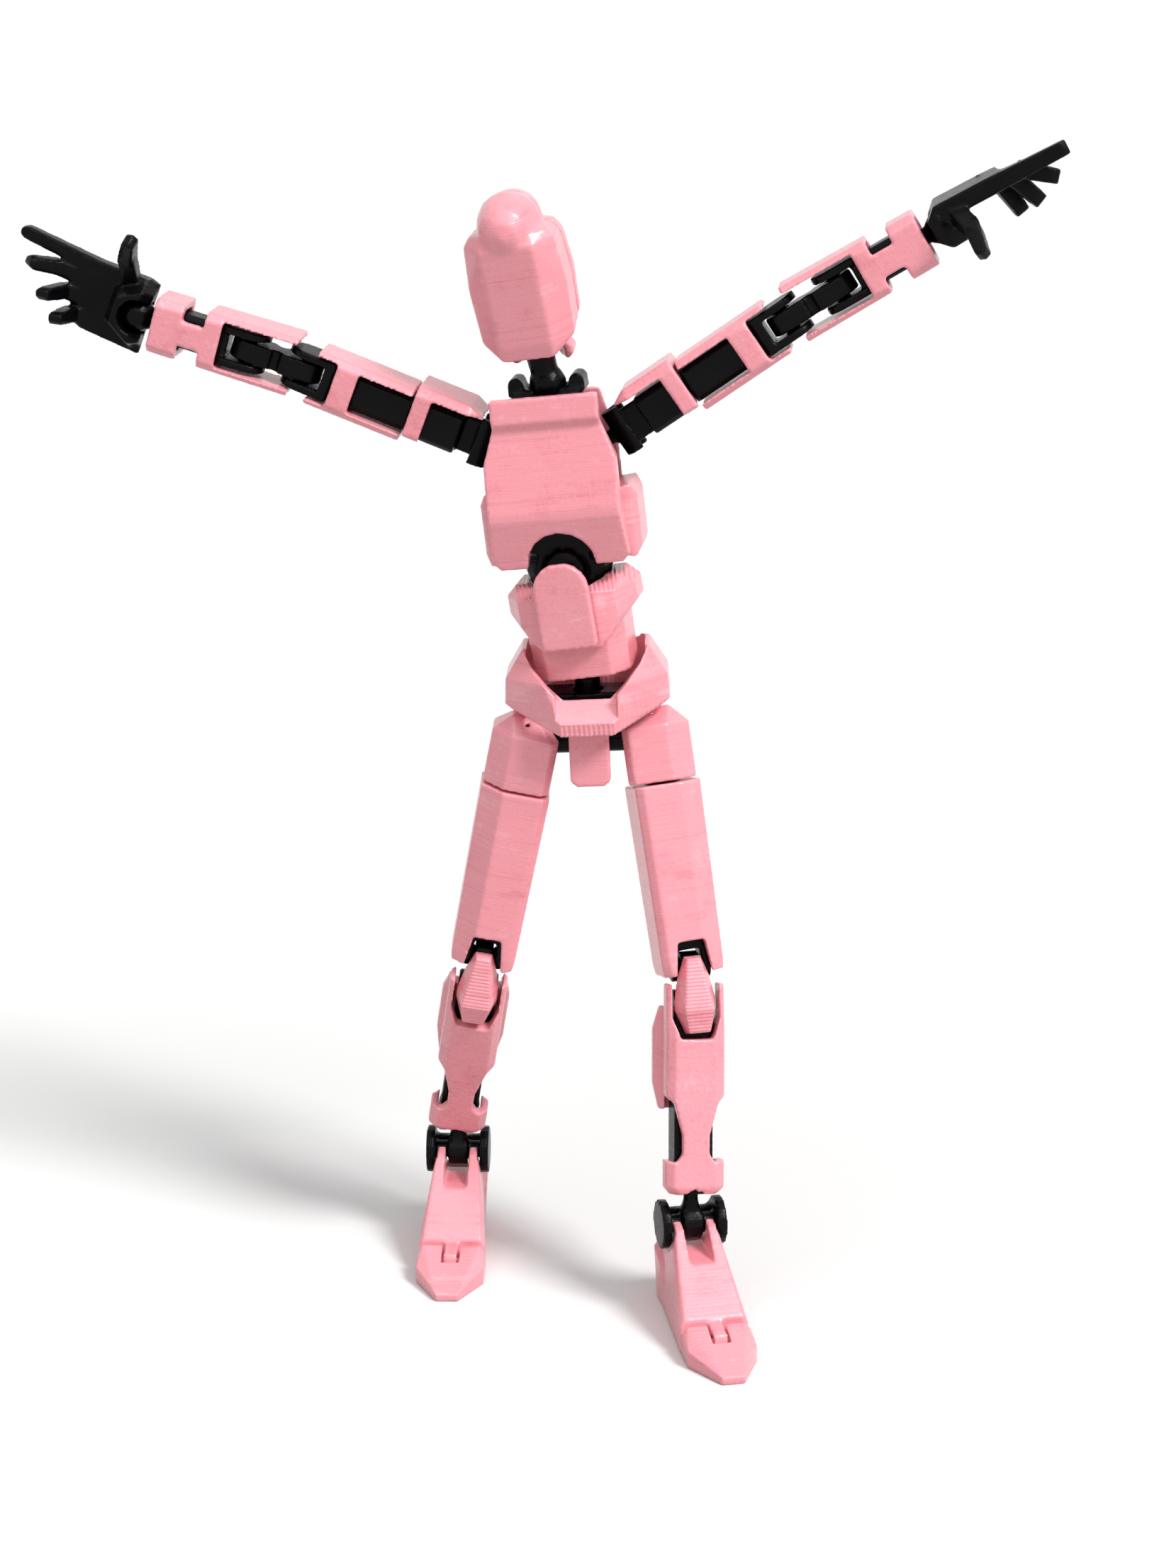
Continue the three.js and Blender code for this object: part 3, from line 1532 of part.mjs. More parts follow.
function foot() {
  const f = FOOT;
  const a = ANKLE;
  const t = TOE;
  const instep = hull(bothSides([
    [f.prongHalf, -f.prongFront, f.prongFace],
    [f.prongHalf, -f.prongEdge, f.prongTop],
    [f.prongHalf, f.armBack, f.prongTop],
    [f.hingeTopHalf, -f.hingeFront, f.hingeTop],
    [f.hingeHalf, -f.hingeFront, f.hingeEdge],
    [f.hingeHalf, -f.soleFront, f.floor],
    [f.waistHalf, f.waistBack, f.floor],
    [f.waistHalf, f.instepBack, f.heelTop],
  ]));
  const heelWide = f.heelHalf + f.heelFlare;
  const heel = hull(bothSides([
    [f.heelHalf, f.heelBack - f.heelCorner, f.floor],
    [f.heelHalf - f.heelCorner, f.heelBack, f.floor],
    [f.heelHalf, 0, f.floor],
    [heelWide, f.heelBack - f.heelCorner, f.heelTop],
    [heelWide - f.heelCorner, f.heelBack, f.heelTop],
    [heelWide, f.heelStart, f.heelTopFront],
  ]));
  const tongueRoot = -f.hingeFront + OVER;
  const tongue = hull(bothSides([
    [t.tongueHalf, tongueRoot, f.hingeTop - SINK],
    [t.tongueHalf, -TOE_PIN.forward - t.tongueHigh, TOE_PIN.height + t.tongueEnd],
    [t.tongueHalf, -TOE_PIN.forward - t.tongueEnd, TOE_PIN.height],
    [t.tongueHalf, -TOE_PIN.forward - t.tongueLow, TOE_PIN.height - t.tongueEnd],
    [t.tongueHalf, tongueRoot, TOE_PIN.height - t.tongueEnd],
  ]));
  const pinHole = rod('x', t.pinRadius + GAP, -THROUGH, THROUGH,
    [0, -TOE_PIN.forward, TOE_PIN.height], FINE);
  const room = a.cheekRadius + GAP;
  const cheekRooms = [
    rod('x', room, f.prongHalf, THROUGH),
    rod('x', room, -THROUGH, -f.prongHalf),
  ];
  const hubHalf = a.hubHalf + GAP;
  const hubRoom = rod('x', a.hubRadius + GAP, -hubHalf, hubHalf);
  const frontRoom = box(-hubHalf, hubHalf, -THROUGH, THROUGH, f.notchBottom, THROUGH);
  const axleRoom = rod('x', a.axleRadius + GAP, -THROUGH, THROUGH, [0, 0, 0], FINE);
  const bridgeRoom = rod('x', room, -THROUGH, THROUGH).intersect(
    box(-THROUGH, THROUGH, f.armBack, THROUGH, -THROUGH, THROUGH));
  return cut(join(instep, heel, tongue), pinHole, ...cheekRooms, hubRoom, frontRoom, axleRoom,
    bridgeRoom);
}

function toe() {
  const t = TOE;
  const back = FOOT.soleFront + GAP;
  const slotHalf = t.tongueHalf + GAP;
  const body = hull(bothSides([
    [t.topHalf, -back, t.top],
    [t.half, -back, t.edge],
    [t.half, -back, FOOT.floor],
    [t.half, -t.wideFront, t.wideTop],
    [t.half, -t.wideFront, FOOT.floor],
    [t.tipHalf, -t.tip, t.tipTop],
    [t.tipHalf, -t.tip, FOOT.floor],
  ]));
  const slot = box(-slotHalf, slotHalf, -TOE_PIN.forward - t.tongueEnd - GAP, 0, -THROUGH, THROUGH);
  const pin = rod('x', t.pinRadius, -slotHalf - t.pinSeat, slotHalf + t.pinSeat,
    [0, -TOE_PIN.forward, TOE_PIN.height], FINE);
  return join(cut(body, slot), pin);
}

// Assembly
const figure = new THREE.Group();
const stand = frameGroup(figure, [0, 0, 0]);
const pelvis = frameGroup(stand, [0, 0, 0], [Z, POSE.pelvisTurn]);
place(pelvis, 'hip_axle', hipAxle(), BLACK);
place(pelvis, 'pelvis_frame', pelvisFrame(), BLACK);
place(pelvis, 'pelvis_skirt', pelvisSkirt(), PINK);
place(pelvis, 'crotch_plate', crotchPlate(), PINK);

const waist = frameGroup(pelvis, [0, 0, WAIST.height], [Z, POSE.waistTurn]);
place(waist, 'waist_joint', waistJoint(), BLACK);
const abdomen = frameGroup(waist, [0, 0, WAIST.ballHeight], [Y, POSE.waistLean],
  [X, POSE.waistBend]);
place(abdomen, 'abdomen_frame', abdomenFrame(), BLACK);
place(abdomen, 'waist_block', waistBlock(), PINK);
place(abdomen, 'abdomen_wings', abdomenWings(), PINK);
place(abdomen, 'abdomen_tongue', abdomenTongue(), PINK);

const chest = frameGroup(abdomen, [0, 0, WAIST.toChest], [Z, POSE.chestTurn], [Y, POSE.chestLean],
  [X, POSE.chestBend]);
place(chest, 'chest_frame', chestFrame(), BLACK);
place(chest, 'chest_front_plate', chestFrontPlate(), PINK);
place(chest, 'chest_back_plate', chestBackPlate(), PINK);
place(chest, 'neck_base', neckBase(), BLACK);

const neck = frameGroup(chest, [0, 0, NECK.height], [Y, POSE.neckLean], [X, POSE.neckNod]);
place(neck, 'neck_post', neckPost(), BLACK);
const head = frameGroup(neck, [0, 0, NECK.postLength], [Z, POSE.headTurn], [Y, POSE.headLean],
  [X, POSE.headNod]);
place(head, 'head_front', headFront(), PINK);
place(head, 'head_back', headBack(), PINK);

const joints = {
  waist_turn: [waist, Z],
  waist_lean: [abdomen, Y],
  chest_bend: [chest, X],
  neck_nod: [neck, X],
  head_turn: [head, Z],
};
const ankles = {};

for (const [word, side] of [['right', -1], ['left', 1]]) {
  const pose = POSE[word];
  place(chest, `${word}_side_plate`, sidePlate(), PINK, side);

  // Arm: the stem points up and out, positive forward brings the arm towards -Y
  const knuckle = frameGroup(chest, [side * SHOULDER.side, SHOULDER.back, SHOULDER.height],
    [Y, -side * pose.stemRaise]);
  place(knuckle, `${word}_shoulder_knuckle`, shoulderKnuckle(), BLACK, side);
  const block = frameGroup(knuckle, [side * SHOULDER.toHinge, 0, 0], [Z, -side * pose.armForward]);
  place(block, `${word}_shoulder_block`, shoulderBlock(), BLACK, side);
  place(block, `${word}_shoulder_pad`, shoulderPad(), PINK, side);
  const upperArm = frameGroup(block, [0, 0, 0]);
  place(upperArm, `${word}_upper_arm_frame`, upperArmFrame(), BLACK, side);
  place(upperArm, `${word}_upper_arm_armor`, upperArmArmor(), PINK, side);
  const link = frameGroup(upperArm, [side * UPPER_ARM.elbow, 0, 0],
    [Y, -side * pose.forearmRaise / 2]);
  place(link, `${word}_elbow_link`, elbowLink(), BLACK, side);
  const forearm = frameGroup(link, [side * ELBOW.linkLength, 0, 0],
    [Y, -side * pose.forearmRaise / 2]);
  place(forearm, `${word}_forearm_frame`, forearmFrame(), BLACK, side);
  place(forearm, `${word}_forearm_armor`, forearmArmor(), PINK, side);
  const palm = frameGroup(forearm, [side * FOREARM.wrist, 0, 0], [Y, -side * pose.handRaise],
    [X, pose.handTurn]);
  place(palm, `${word}_hand`, hand(), BLACK, side);

  // Leg: positive swing and knee angles take the leg back, spread takes it out
  const hip = frameGroup(pelvis, [side * HIP.half, 0, 0], [X, pose.hipSwing]);
  place(hip, `${word}_hip_joint`, hipJoint(), BLACK, side);
  const thigh = frameGroup(hip, [0, 0, 0], [Y, -side * pose.hipSpread]);
  place(thigh, `${word}_upper_thigh`, upperThigh(), PINK, side);
  const lower = frameGroup(thigh, [0, 0, 0], [Z, side * pose.thighTurn]);
  place(lower, `${word}_thigh_frame`, thighFrame(), BLACK, side);
  place(lower, `${word}_lower_thigh`, lowerThigh(), PINK, side);
  const knee = frameGroup(lower, [0, 0, THIGH.knee], [Y, side * pose.kneePlay],
    [X, pose.kneeUpper]);
  place(knee, `${word}_knee_link`, kneeLink(), BLACK, side);
  place(knee, `${word}_knee_cap`, kneeCap(), PINK, side);
  const shin = frameGroup(knee, [0, 0, -KNEE.linkLength], [Y, side * pose.kneePlay],
    [X, pose.kneeLower]);
  place(shin, `${word}_shin_frame`, shinFrame(), BLACK, side);
  place(shin, `${word}_shin_armor`, shinArmor(), PINK, side);
  place(shin, `${word}_calf_panel`, calfPanel(), PINK, side);

  const ankle = frameGroup(shin, [0, 0, SHIN.socket]);
  const ankleJointGroup = frameGroup(ankle, [0, 0, -ANKLE.ballHeight]);
  place(ankleJointGroup, `${word}_ankle_joint`, ankleJoint(), BLACK, side);
  const footGroup = frameGroup(ankleJointGroup, [0, 0, 0]);
  place(footGroup, `${word}_foot`, foot(), PINK, side);
  const toePin = frameGroup(footGroup, [0, -TOE_PIN.forward, TOE_PIN.height]);
  const toeMesh = place(toePin, `${word}_toe`, toe(), PINK, side);
  toeMesh.position.set(0, TOE_PIN.forward, -TOE_PIN.height);

  Object.assign(joints, {
    [`${word}_shoulder_roll`]: [knuckle, X],
    [`${word}_shoulder_swing`]: [block, Z],
    [`${word}_biceps_turn`]: [upperArm, X],
    [`${word}_elbow_upper`]: [link, Z],
    [`${word}_elbow_lower`]: [forearm, Z],
    [`${word}_wrist`]: [palm, Z],
    [`${word}_hip_swing`]: [hip, X],
    [`${word}_hip_spread`]: [thigh, Y],
    [`${word}_thigh_turn`]: [lower, Z],
    [`${word}_knee_upper`]: [knee, X],
    [`${word}_knee_lower`]: [shin, X],
    [`${word}_ankle_tilt`]: [ankle, Y],
    [`${word}_ankle_pitch`]: [footGroup, X],
    [`${word}_toe_bend`]: [toePin, X],
  });
  ankles[word] = ankle;
}

// The pelvis leans so that both ankles are at one height, and each ankle then levels its sole
figure.updateMatrixWorld(true);
const ankleAt = (word) => pelvis.worldToLocal(ankles[word].getWorldPosition(new THREE.Vector3()));
const across = ankleAt('left').sub(ankleAt('right'));
const lean = new THREE.Quaternion().setFromAxisAngle(Y, Math.atan2(across.z, across.x));
pelvis.quaternion.multiply(lean);
figure.updateMatrixWorld(true);
for (const [word, side] of [['right', -1], ['left', 1]]) {
  const legTurn = ankles[word].parent.getWorldQuaternion(new THREE.Quaternion());
  const heading = new THREE.Quaternion().setFromAxisAngle(
    Z, THREE.MathUtils.degToRad(side * POSE[word].footTurn));
  ankles[word].quaternion.copy(legTurn.invert().multiply(heading));
}
figure.updateMatrixWorld(true);
const ankleHeight = ankles.left.getWorldPosition(new THREE.Vector3()).z;
stand.position.z = ANKLE.ballHeight - FOOT.floor - ankleHeight;
figure.updateMatrixWorld(true);
const bounds = new THREE.Box3().setFromObject(figure);
const middle = bounds.getCenter(new THREE.Vector3());
stand.position.x -= middle.x;
stand.position.y -= middle.y;
figure.updateMatrixWorld(true);
figure.userData.joints = joints;

export default figure;
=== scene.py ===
"""Looks of the jointed figure: rounded edges and print texture on each piece, light and camera."""

import json
import math

import bpy
import numpy as np
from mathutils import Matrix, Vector


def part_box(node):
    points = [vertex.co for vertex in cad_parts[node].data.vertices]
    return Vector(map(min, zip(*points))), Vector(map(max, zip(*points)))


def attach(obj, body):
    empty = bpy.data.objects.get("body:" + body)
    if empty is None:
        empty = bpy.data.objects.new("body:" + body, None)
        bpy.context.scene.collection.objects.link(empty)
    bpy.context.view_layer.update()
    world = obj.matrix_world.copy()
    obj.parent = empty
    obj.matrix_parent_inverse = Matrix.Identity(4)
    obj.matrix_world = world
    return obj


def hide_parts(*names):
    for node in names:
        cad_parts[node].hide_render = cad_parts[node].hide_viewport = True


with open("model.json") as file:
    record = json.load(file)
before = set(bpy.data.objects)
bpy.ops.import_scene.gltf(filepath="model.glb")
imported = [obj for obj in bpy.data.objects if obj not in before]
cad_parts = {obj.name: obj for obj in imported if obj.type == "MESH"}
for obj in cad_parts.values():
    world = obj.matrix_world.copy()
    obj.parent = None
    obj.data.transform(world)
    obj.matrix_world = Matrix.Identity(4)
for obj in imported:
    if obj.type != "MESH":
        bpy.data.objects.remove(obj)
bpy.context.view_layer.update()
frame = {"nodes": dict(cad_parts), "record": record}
scene = bpy.context.scene
MM = 0.001

# Mesh of the pieces, in millimetres
VOXEL = 0.22            # mesh step of a plain piece
FINE_VOXEL = 0.13       # mesh step of a piece with ridges
SMOOTHING = 0.5         # share of the way to its neighbours' mean that a vertex moves in a round
RIDGE_FADE = 0.20       # cosine over which ridges fade in as the faces turn their way

# Rounds of smoothing: of a plain piece, of one with ridges, and of the pieces that are rounder
PLAIN_ROUNDS = 3
RIDGED_ROUNDS = 6
ROUNDS = {
    "head_front": 14,
    "head_back": 14,
    "neck_base": 6,
    "neck_post": 8,
    "chest_frame": 8,
    "abdomen_frame": 8,
}

# Albedo of the plastic, from its darkest to its palest parts; the palest also lightens convex
# edges, partly as wear and partly as a painted highlight
PINK_DARK = (0.52, 0.130, 0.160, 1)
PINK_DEEP = (0.76, 0.225, 0.270, 1)
PINK = (0.88, 0.318, 0.370, 1)
PINK_PALE = (0.94, 0.450, 0.500, 1)
BLACK_DEEP = (0.0014, 0.0013, 0.0017, 1)
BLACK = (0.0040, 0.0036, 0.0046, 1)

# What each finish sets on the shader, the colours along its tone, and its least and most roughness
FINISHES = {
    "pink_armour": {
        "name": "pink",
        "tones": [(0.0, PINK_DEEP), (0.40, PINK), (0.65, PINK), (1.0, PINK_PALE)],
        "roughness": (0.22, 0.40),
        "shader": {
            "Subsurface Weight": 0.12,
            "Subsurface Radius": (1.0, 0.32, 0.30),
            "Subsurface Scale": 0.7 * MM,
            "Specular IOR Level": 0.55,
            "Coat Weight": 0.30,
            "Coat Roughness": 0.14,
        },
    },
    "black_frame": {
        "name": "black",
        "tones": [(0.0, BLACK_DEEP), (1.0, BLACK)],
        "roughness": (0.18, 0.36),
        "shader": {"Specular IOR Level": 0.09},
    },
}

# Print texture, in millimetres
LAYER = 0.32            # height of one visible printed line
WAVER = 0.5             # how far a line wanders, in lines
RELIEF = 0.036          # depth that a height of one stands for

# Noise patterns: scale per millimetre, octaves and roughness
NOISES = {
    "waver": (0.35, 2.0, 0.55),
    "streak": (1.0, 4.0, 0.60),
    "band": (1.0, 3.0, 0.60),
    "cloud": (0.20, 2.0, 0.55),
    "skin": (1.9, 4.0, 0.62),
    "grain": (7.0, 2.0, 0.70),
}

# Scale of the two patterns that lie along the layers: twice along them, and across them
STREAK_STRETCH = (0.16, 0.16, 2.2)
BAND_STRETCH = (0.05, 0.05, 1.5)

# Weights of the patterns in the colour and the relief. What is mottled comes on top, by its share.
IN_COLOUR = {"streak": 0.30, "line": 0.08, "cloud": 0.55, "skin": 0.15, "mottled_skin": 0.55}
IN_RELIEF = {
    "wave": 0.22,
    "streak": 0.95,
    "skin": 0.35,
    "mottled_skin": 2.4,
    "grain": 0.10,
    "mottled_grain": 0.8,
}
IN_GLOSS = {"skin": 0.6, "streak": 0.4}

# Ends of the patterns' ranges
TONE_RANGE = (0.30, 0.70)
BAND_RANGE = (0.58, 0.68)
EDGE_RANGE = (0.53, 0.60)
GLOSS_RANGE = (0.3, 0.7)
BAND_SHARE = 0.22       # how much a dark band takes of its own colour
EDGE_WEAR_AND_HIGHLIGHT_SHARE = 0.35       # how much a convex edge takes of the pale colour: partly whitening from wear, partly a painted highlight

# Share of layer lines and of mottling: of a plain piece, and of the pieces that differ
PLAIN = (1.0, 0.12)
SURFACES = {
    ("forearm_armor", "upper_arm_armor", "shoulder_pad", "calf_panel"): (0.45, 0.55),
    ("shin_armor",): (0.50, 0.75),
    ("abdomen_tongue",): (0.50, 0.40),
    ("head_front", "head_back"): (0.8, 0.05),
    ("chest_front_plate", "chest_back_plate"): (0.7, 0.15),
    ("left_hand",): (0.50, 0.80),
}

# Ends of the names of the black pieces
BLACK_ENDS = (
    "_frame", "_joint", "_link", "_knuckle", "_block", "_hand", "_axle", "neck_base", "neck_post",
)

# Floor and world: what the rays that meet the background see, and what lights the figure
FLOOR_HALF = 12
FLOOR_HEIGHT = -0.05 * MM
FLOOR_SEEN = (0.80, 0.80, 0.795, 1)
FLOOR_LIT = (0.46, 0.455, 0.45, 1)
WORLD_SEEN = (1, 1, 1, 1)
WORLD_LIT = (0.35, 0.35, 0.35, 1)

# Lamps: the way each shines, its strength and its angle in degrees. They stand off this point.
LIT_POINT = Vector((0, 0, 0.075))
LAMPS = {
    "key": ((-0.54, 0.42, -0.73), 2.7, 17),
    "right_strip": ((-0.64, 0.75, 0.04), 0.40, 9),
    "top_fill": ((0.05, 0.50, -0.86), 1.2, 70),
}

# Camera, fitted to the photograph: focal length and width in its pixels, place in metres, tilt in
# degrees
SENSOR = 36
PHOTO_FOCAL = 4970
PHOTO_WIDTH = 1659
CAMERA_FROM_HIPS = (-0.0003, -0.4235)
CAMERA_HEIGHT = 0.1875
CAMERA_TILT = 16.1
CAMERA_NEAREST = 0.01

# The record's bodies and joints
BEHAVIOUR = frame["record"]["behaviour"]
BODY_OF = {node: body for body, nodes in BEHAVIOUR["bodies"].items() for node in nodes}
JOINTS = {joint["name"]: joint for joint in BEHAVIOUR["joints"]}


# Directions that printed layers follow
def axis(joint):
    """The line that a joint turns about."""
    return Vector(JOINTS[joint]["axis"]).normalized()


def run(lower, upper):
    """The way from one joint's centre to another's."""
    return (Vector(JOINTS[upper]["pos_m"]) - Vector(JOINTS[lower]["pos_m"])).normalized()


def off_the_foot(node, facing_down=-0.9):
    """The way up from the flat underside of a solid."""
    faces = [face for face in frame["nodes"][node].data.polygons if face.normal.z < facing_down]
    return -Vector(max(faces, key=lambda face: face.area).normal)


UP = {
    "pelvis": axis("waist_turn"),
    "waist_joint": axis("waist_turn"),
    "abdomen": run("waist_lean", "chest_bend"),
    "chest": run("chest_bend", "neck_nod"),
    "neck": axis("head_turn"),
    "head": off_the_foot("head_front"),
}
for side in ("right_", "left_"):
    for part in ("shoulder_knuckle", "shoulder", "upper_arm"):
        UP[side + part] = axis(side + "shoulder_swing")
    UP[side + "elbow_link"] = axis(side + "elbow_upper")
    UP[side + "forearm"] = axis(side + "elbow_lower")
    UP[side + "hand"] = axis(side + "wrist")
    for part in ("hip_joint", "upper_thigh", "lower_thigh"):
        UP[side + part] = axis(side + "thigh_turn")
    UP[side + "knee"] = run(side + "knee_lower", side + "knee_upper")
    UP[side + "shin"] = run(side + "ankle_tilt", side + "knee_lower")
    for part in ("ankle_joint", "foot", "toe"):
        UP[side + part] = Vector((0, 0, 1))

# Ridged faces: the direction that the ridges follow one another in, their spacing and depth in
# millimetres, the way that the ridged faces look, and how closely they have to look that way
RIDGED = {
    "right_knee_cap": (UP["right_knee"], 0.44, 0.13, (0.1, -1.0, 0.35), 0.50),
    "left_knee_cap": (UP["left_knee"], 0.44, 0.13, (0.1, -1.0, 0.45), 0.50),
    "pelvis_skirt": ((1, 0, 0.1), 0.60, 0.13, (0, -0.80, -0.60), 0.62),
    "abdomen_wings": ((1, 0, 0.25), 0.55, 0.14, (0, -0.4, 0.92), 0.62),
    "right_toe": ((0, -1, 0.2), 0.50, 0.06, (0, -0.45, 0.89), 0.88),
    "left_toe": ((0.2, -1, 0.2), 0.50, 0.06, (0, -0.45, 0.89), 0.88),
}


# Materials
class Tree:
    """Short calls for building one node tree."""

    def __init__(self, owner):
        owner.use_nodes = True
        self.tree = owner.node_tree
        self.tree.nodes.clear()

    def add(self, kind, **settings):
        node = self.tree.nodes.new("ShaderNode" + kind)
        for name, value in settings.items():
            setattr(node, name, value)
        return node

    def join(self, source, target):
        self.tree.links.new(source, target)

    def feed(self, value, socket):
        """Sets a socket to a constant, or links it to another's output."""
        if isinstance(value, (int, float, tuple)):
            socket.default_value = value
        else:
            self.join(value, socket)

    def math(self, operation, *values):
        node = self.add("Math", operation=operation)
        for value, socket in zip(values, node.inputs):
            self.feed(value, socket)
        return node.outputs[0]

    def noise(self, vector, scale, octaves, rough):
        node = self.add("TexNoise")
        node.inputs["Scale"].default_value = scale
        node.inputs["Detail"].default_value = octaves
        node.inputs["Roughness"].default_value = rough
        self.join(vector, node.inputs["Vector"])
        return node.outputs["Fac"]

    def mapped(self, vector, rotation=(0, 0, 0), scale=(1, 1, 1)):
        node = self.add("Mapping")
        node.inputs["Rotation"].default_value = rotation
        node.inputs["Scale"].default_value = scale
        self.join(vector, node.inputs["Vector"])
        return node.outputs["Vector"]

    def ramp(self, factor, stops):
        node = self.add("ValToRGB")
        ramp = node.color_ramp
        while len(ramp.elements) < len(stops):
            ramp.elements.new(0.5)
        for element, (place, colour) in zip(ramp.elements, stops):
            element.position = place
            element.color = colour
        self.join(factor, node.inputs["Fac"])
        return node.outputs["Color"]

    def span(self, value, ends, to_low=0.0, to_high=1.0):
        """Stretches one range of a value to another."""
        node = self.add("MapRange")
        sockets = ("From Min", "From Max", "To Min", "To Max")
        for socket, number in zip(sockets, (*ends, to_low, to_high)):
            node.inputs[socket].default_value = number
        self.join(value, node.inputs["Value"])
        return node.outputs["Result"]

    def blend(self, factor, first, second):
        node = self.add("Mix", data_type="RGBA")
        sockets = {socket.name: socket for socket in node.inputs if socket.enabled}
        self.feed(factor, sockets["Factor"])
        self.feed(first, sockets["A"])
        self.feed(second, sockets["B"])
        return next(socket for socket in node.outputs if socket.enabled)

    def weighed(self, *pairs):
        """A weighed mean of several patterns that each lie about one half."""
        total = sum(weight for _, weight in pairs)
        return self.total(*((value, weight / total) for value, weight in pairs))

    def total(self, *pairs):
        """The sum of several patterns, each by its weight."""
        result = None
        for value, weight in pairs:
            part = self.math("MULTIPLY", value, weight)
            result = part if result is None else self.math("ADD", result, part)
        return result

    def background_rays(self):
        """One for the rays that meet the background: from the camera, off gloss, through glass."""
        path = self.add("LightPath").outputs
        clear = self.math("MAXIMUM", path["Is Glossy Ray"], path["Is Transmission Ray"])
        return self.math("MAXIMUM", path["Is Camera Ray"], clear)

    def end(self, kind, shader):
        """Leads a shader to the tree's output."""
        self.join(shader.outputs[0], self.add(kind).inputs["Surface"])


def patterns_of(t, up):
    """The patterns that a printer leaves whose layers are stacked along up."""
    turn = up.rotation_difference(Vector((0, 0, 1))).to_euler()
    turned = t.mapped(t.add("TexCoord").outputs["Object"], rotation=turn)
    local = t.mapped(turned, scale=(1 / MM,) * 3)
    split = t.add("SeparateXYZ")
    t.join(local, split.inputs[0])
    lines = t.math("DIVIDE", split.outputs["Z"], LAYER)
    waver = t.math("MULTIPLY", t.noise(local, *NOISES["waver"]), WAVER)
    height = t.math("ADD", lines, waver)
    each = t.add("TexWhiteNoise", noise_dimensions="1D")
    t.join(t.math("FLOOR", height), each.inputs["W"])
    return {
        "wave": t.math("ABSOLUTE", t.math("SINE", t.math("MULTIPLY", height, math.pi))),
        "line": each.outputs["Value"],
        "streak": t.noise(t.mapped(local, scale=STREAK_STRETCH), *NOISES["streak"]),
        "band": t.noise(t.mapped(local, scale=BAND_STRETCH), *NOISES["band"]),
        "cloud": t.noise(local, *NOISES["cloud"]),
        "skin": t.noise(local, *NOISES["skin"]),
        "grain": t.noise(local, *NOISES["grain"]),
    }


def printed(name, up, slot, lines, mottle):
    """Printed plastic: layer lines across up, streaks along them, a mottled skin, edges lightened
    by wear and by a painted highlight.
    """
    material = bpy.data.materials.new(name)
    finish = FINISHES[slot]
    t = Tree(material)
    bsdf = t.add("BsdfPrincipled")
    for socket, value in finish["shader"].items():
        bsdf.inputs[socket].default_value = value
    pattern = patterns_of(t, up)
    dark = t.span(pattern["band"], BAND_RANGE, to_high=BAND_SHARE * min(lines, 1.0))

    tone = t.weighed(
        (pattern["streak"], IN_COLOUR["streak"] * lines),
        (pattern["skin"], IN_COLOUR["skin"] + IN_COLOUR["mottled_skin"] * mottle),
        (pattern["cloud"], IN_COLOUR["cloud"]),
        (pattern["line"], IN_COLOUR["line"] * lines),
    )
    colour = t.ramp(t.span(tone, TONE_RANGE), finish["tones"])
    if slot == "pink_armour":
        # Convex edges turn towards the pale colour: partly whitening from wear, partly a painted
        # highlight along the edge
        edge_wear_and_highlight = t.span(t.add("NewGeometry").outputs["Pointiness"], EDGE_RANGE)
        colour = t.blend(dark, colour, PINK_DARK)
        colour = t.blend(t.math("MULTIPLY", edge_wear_and_highlight, EDGE_WEAR_AND_HIGHLIGHT_SHARE), colour, PINK_PALE)
    t.join(colour, bsdf.inputs["Base Color"])

    gloss = t.weighed(*((pattern[kind], weight) for kind, weight in IN_GLOSS.items()))
    t.join(t.span(gloss, GLOSS_RANGE, *finish["roughness"]), bsdf.inputs["Roughness"])

    relief = t.total(
        (pattern["wave"], IN_RELIEF["wave"] * lines),
        (pattern["streak"], IN_RELIEF["streak"] * lines),
        (dark, -1.0),
        (pattern["skin"], IN_RELIEF["skin"] + IN_RELIEF["mottled_skin"] * mottle),
        (pattern["grain"], IN_RELIEF["grain"] + IN_RELIEF["mottled_grain"] * mottle),
    )
    bump = t.add("Bump")
    bump.inputs["Strength"].default_value = 1.0
    bump.inputs["Distance"].default_value = RELIEF * MM
    t.join(relief, bump.inputs["Height"])
    t.join(bump.outputs["Normal"], bsdf.inputs["Normal"])
    t.end("OutputMaterial", bsdf)
    return material


MATERIALS = {}


def finish_of(body, slot, lines, mottle):
    """The printed finish of one body, made once for each kind of surface."""
    key = (tuple(UP[body]), slot, lines, mottle)
    if key not in MATERIALS:
        name = f"{FINISHES[slot]['name']}_print_{len(MATERIALS)}"
        MATERIALS[key] = printed(name, UP[body], slot, lines, mottle)
    return MATERIALS[key]


def slot_of(node):
    """The finish a node takes: the inner frame is black and the armour pink."""
    black = node.endswith(BLACK_ENDS) and node != "waist_block"
    return "black_frame" if black else "pink_armour"


def surface_of(node):
    """How strongly a piece shows its layers and its mottled skin."""
    return next((kind for ends, kind in SURFACES.items() if node.endswith(ends)), PLAIN)


# Pieces
def soft_copy(node, voxel, rounds):
    """A finely meshed copy of a solid, whose edges are rounded as on a print."""
    source = frame["nodes"][node]
    piece = bpy.data.objects.new(node + "_shell", source.data.copy())
    scene.collection.objects.link(piece)
    remesh = piece.modifiers.new("mesh", "REMESH")
    remesh.mode = "VOXEL"
    remesh.voxel_size = voxel * MM * 1.0
    smooth = piece.modifiers.new("round", "SMOOTH")
    smooth.factor = SMOOTHING
    smooth.iterations = rounds
    bpy.context.view_layer.update()
    made = bpy.data.meshes.new_from_object(
        piece.evaluated_get(bpy.context.evaluated_depsgraph_get()))
    piece.modifiers.clear()
    piece.data = made
    made.polygons.foreach_set("use_smooth", np.ones(len(made.polygons), bool))
    return piece


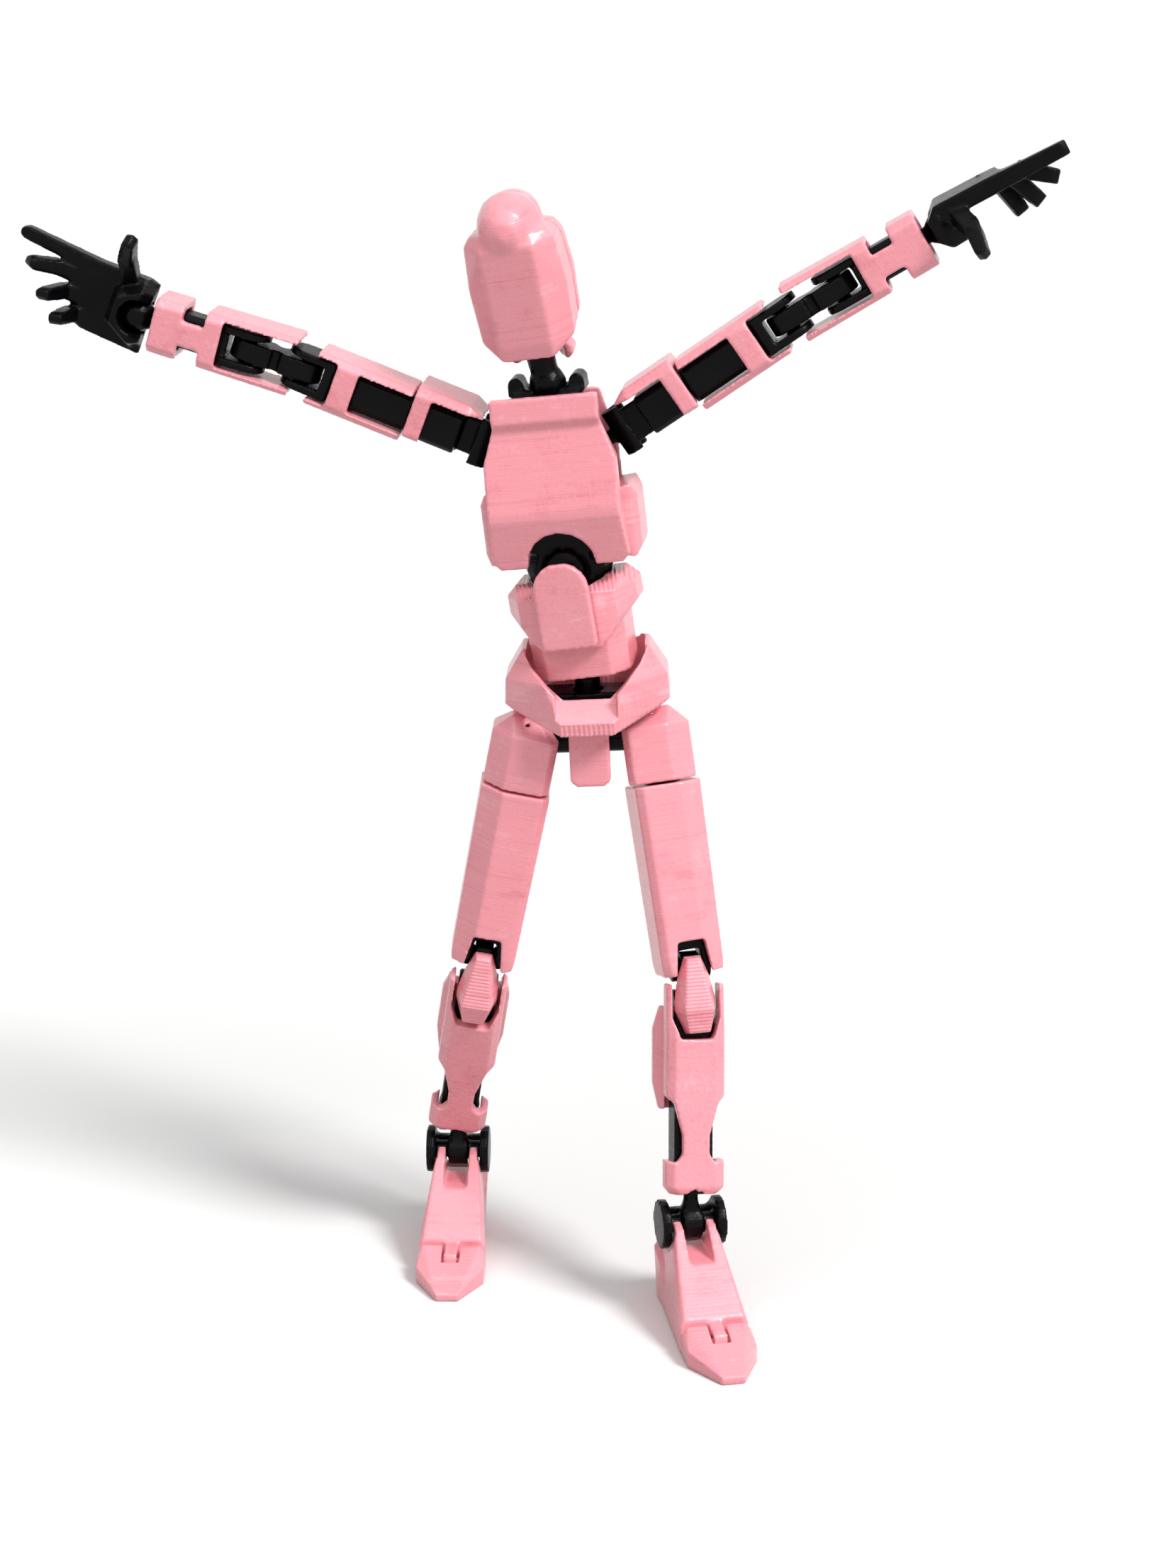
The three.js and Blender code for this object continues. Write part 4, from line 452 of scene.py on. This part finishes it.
def read_points(mesh, attribute):
    """Three numbers for each vertex of a mesh."""
    values = np.empty(len(mesh.vertices) * 3, np.float32)
    mesh.vertices.foreach_get(attribute, values)
    return values.reshape(-1, 3).astype(float)


def unit(way):
    """A direction of length one, as an array."""
    return np.array(Vector(way).normalized())


def ridges(piece, along, spacing, depth, facing, least):
    """Presses grooves across one direction into the faces that look roughly one way."""
    mesh = piece.data
    points = read_points(mesh, "co") / MM
    normals = read_points(mesh, "normal")
    share = np.clip((normals @ unit(facing) - least) / RIDGE_FADE, 0, 1)
    wave = 0.5 - 0.5 * np.cos(2 * math.pi * (points @ unit(along)) / spacing)
    points -= normals * (share * wave * depth)[:, None]
    mesh.vertices.foreach_set("co", (points * MM).astype(np.float32).ravel())
    mesh.update()


for node in sorted(frame["nodes"]):
    if node in RIDGED:
        piece = soft_copy(node, FINE_VOXEL, RIDGED_ROUNDS)
        ridges(piece, *RIDGED[node])
    else:
        piece = soft_copy(node, VOXEL, ROUNDS.get(node, PLAIN_ROUNDS))
    body = BODY_OF[node]
    slot = slot_of(node)
    piece.data.materials.clear()
    piece.data.materials.append(finish_of(body, slot, *surface_of(node)))
    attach(piece, body)
    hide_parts(node)


# Floor
def sheet(name, half, height):
    """A flat square sheet."""
    mesh = bpy.data.meshes.new(name)
    corners = [(x * half, y * half, height) for x, y in ((-1, -1), (1, -1), (1, 1), (-1, 1))]
    mesh.from_pydata(corners, [], [(0, 1, 2, 3)])
    item = bpy.data.objects.new(name, mesh)
    scene.collection.objects.link(item)
    return item


floor = sheet("floor", FLOOR_HALF, FLOOR_HEIGHT)
floor_paint = bpy.data.materials.new("floor_white")
t = Tree(floor_paint)
diffuse = t.add("BsdfDiffuse")
t.join(t.blend(t.background_rays(), FLOOR_LIT, FLOOR_SEEN), diffuse.inputs["Color"])
t.end("OutputMaterial", diffuse)
floor.data.materials.append(floor_paint)

# Light
world = bpy.data.worlds.new("studio")
scene.world = world
t = Tree(world)
background = t.add("Background")
background.inputs["Strength"].default_value = 1.0
t.join(t.blend(t.background_rays(), WORLD_LIT, WORLD_SEEN), background.inputs["Color"])
t.end("OutputWorld", background)

for name, (way, strength, degrees) in LAMPS.items():
    light = bpy.data.lights.new(name, "SUN")
    light.energy = strength
    light.angle = math.radians(degrees)
    lamp = bpy.data.objects.new(name, light)
    scene.collection.objects.link(lamp)
    lamp.location = LIT_POINT - Vector(way)
    lamp.rotation_euler = Vector(way).to_track_quat("-Z", "Y").to_euler()

# Camera
low, high = (Vector(corner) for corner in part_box("hip_axle"))
hips = (low + high) / 2
camera_data = bpy.data.cameras.new("camera")
camera_data.sensor_fit = "HORIZONTAL"
camera_data.sensor_width = SENSOR
camera_data.lens = SENSOR * PHOTO_FOCAL / PHOTO_WIDTH
camera_data.clip_start = CAMERA_NEAREST
camera = bpy.data.objects.new("camera", camera_data)
scene.collection.objects.link(camera)
across, away = CAMERA_FROM_HIPS
camera.location = (hips.x + across, hips.y + away, CAMERA_HEIGHT)
camera.rotation_euler = (math.radians(90 - CAMERA_TILT), 0, 0)
scene.camera = camera

scene.view_settings.view_transform = "Standard"
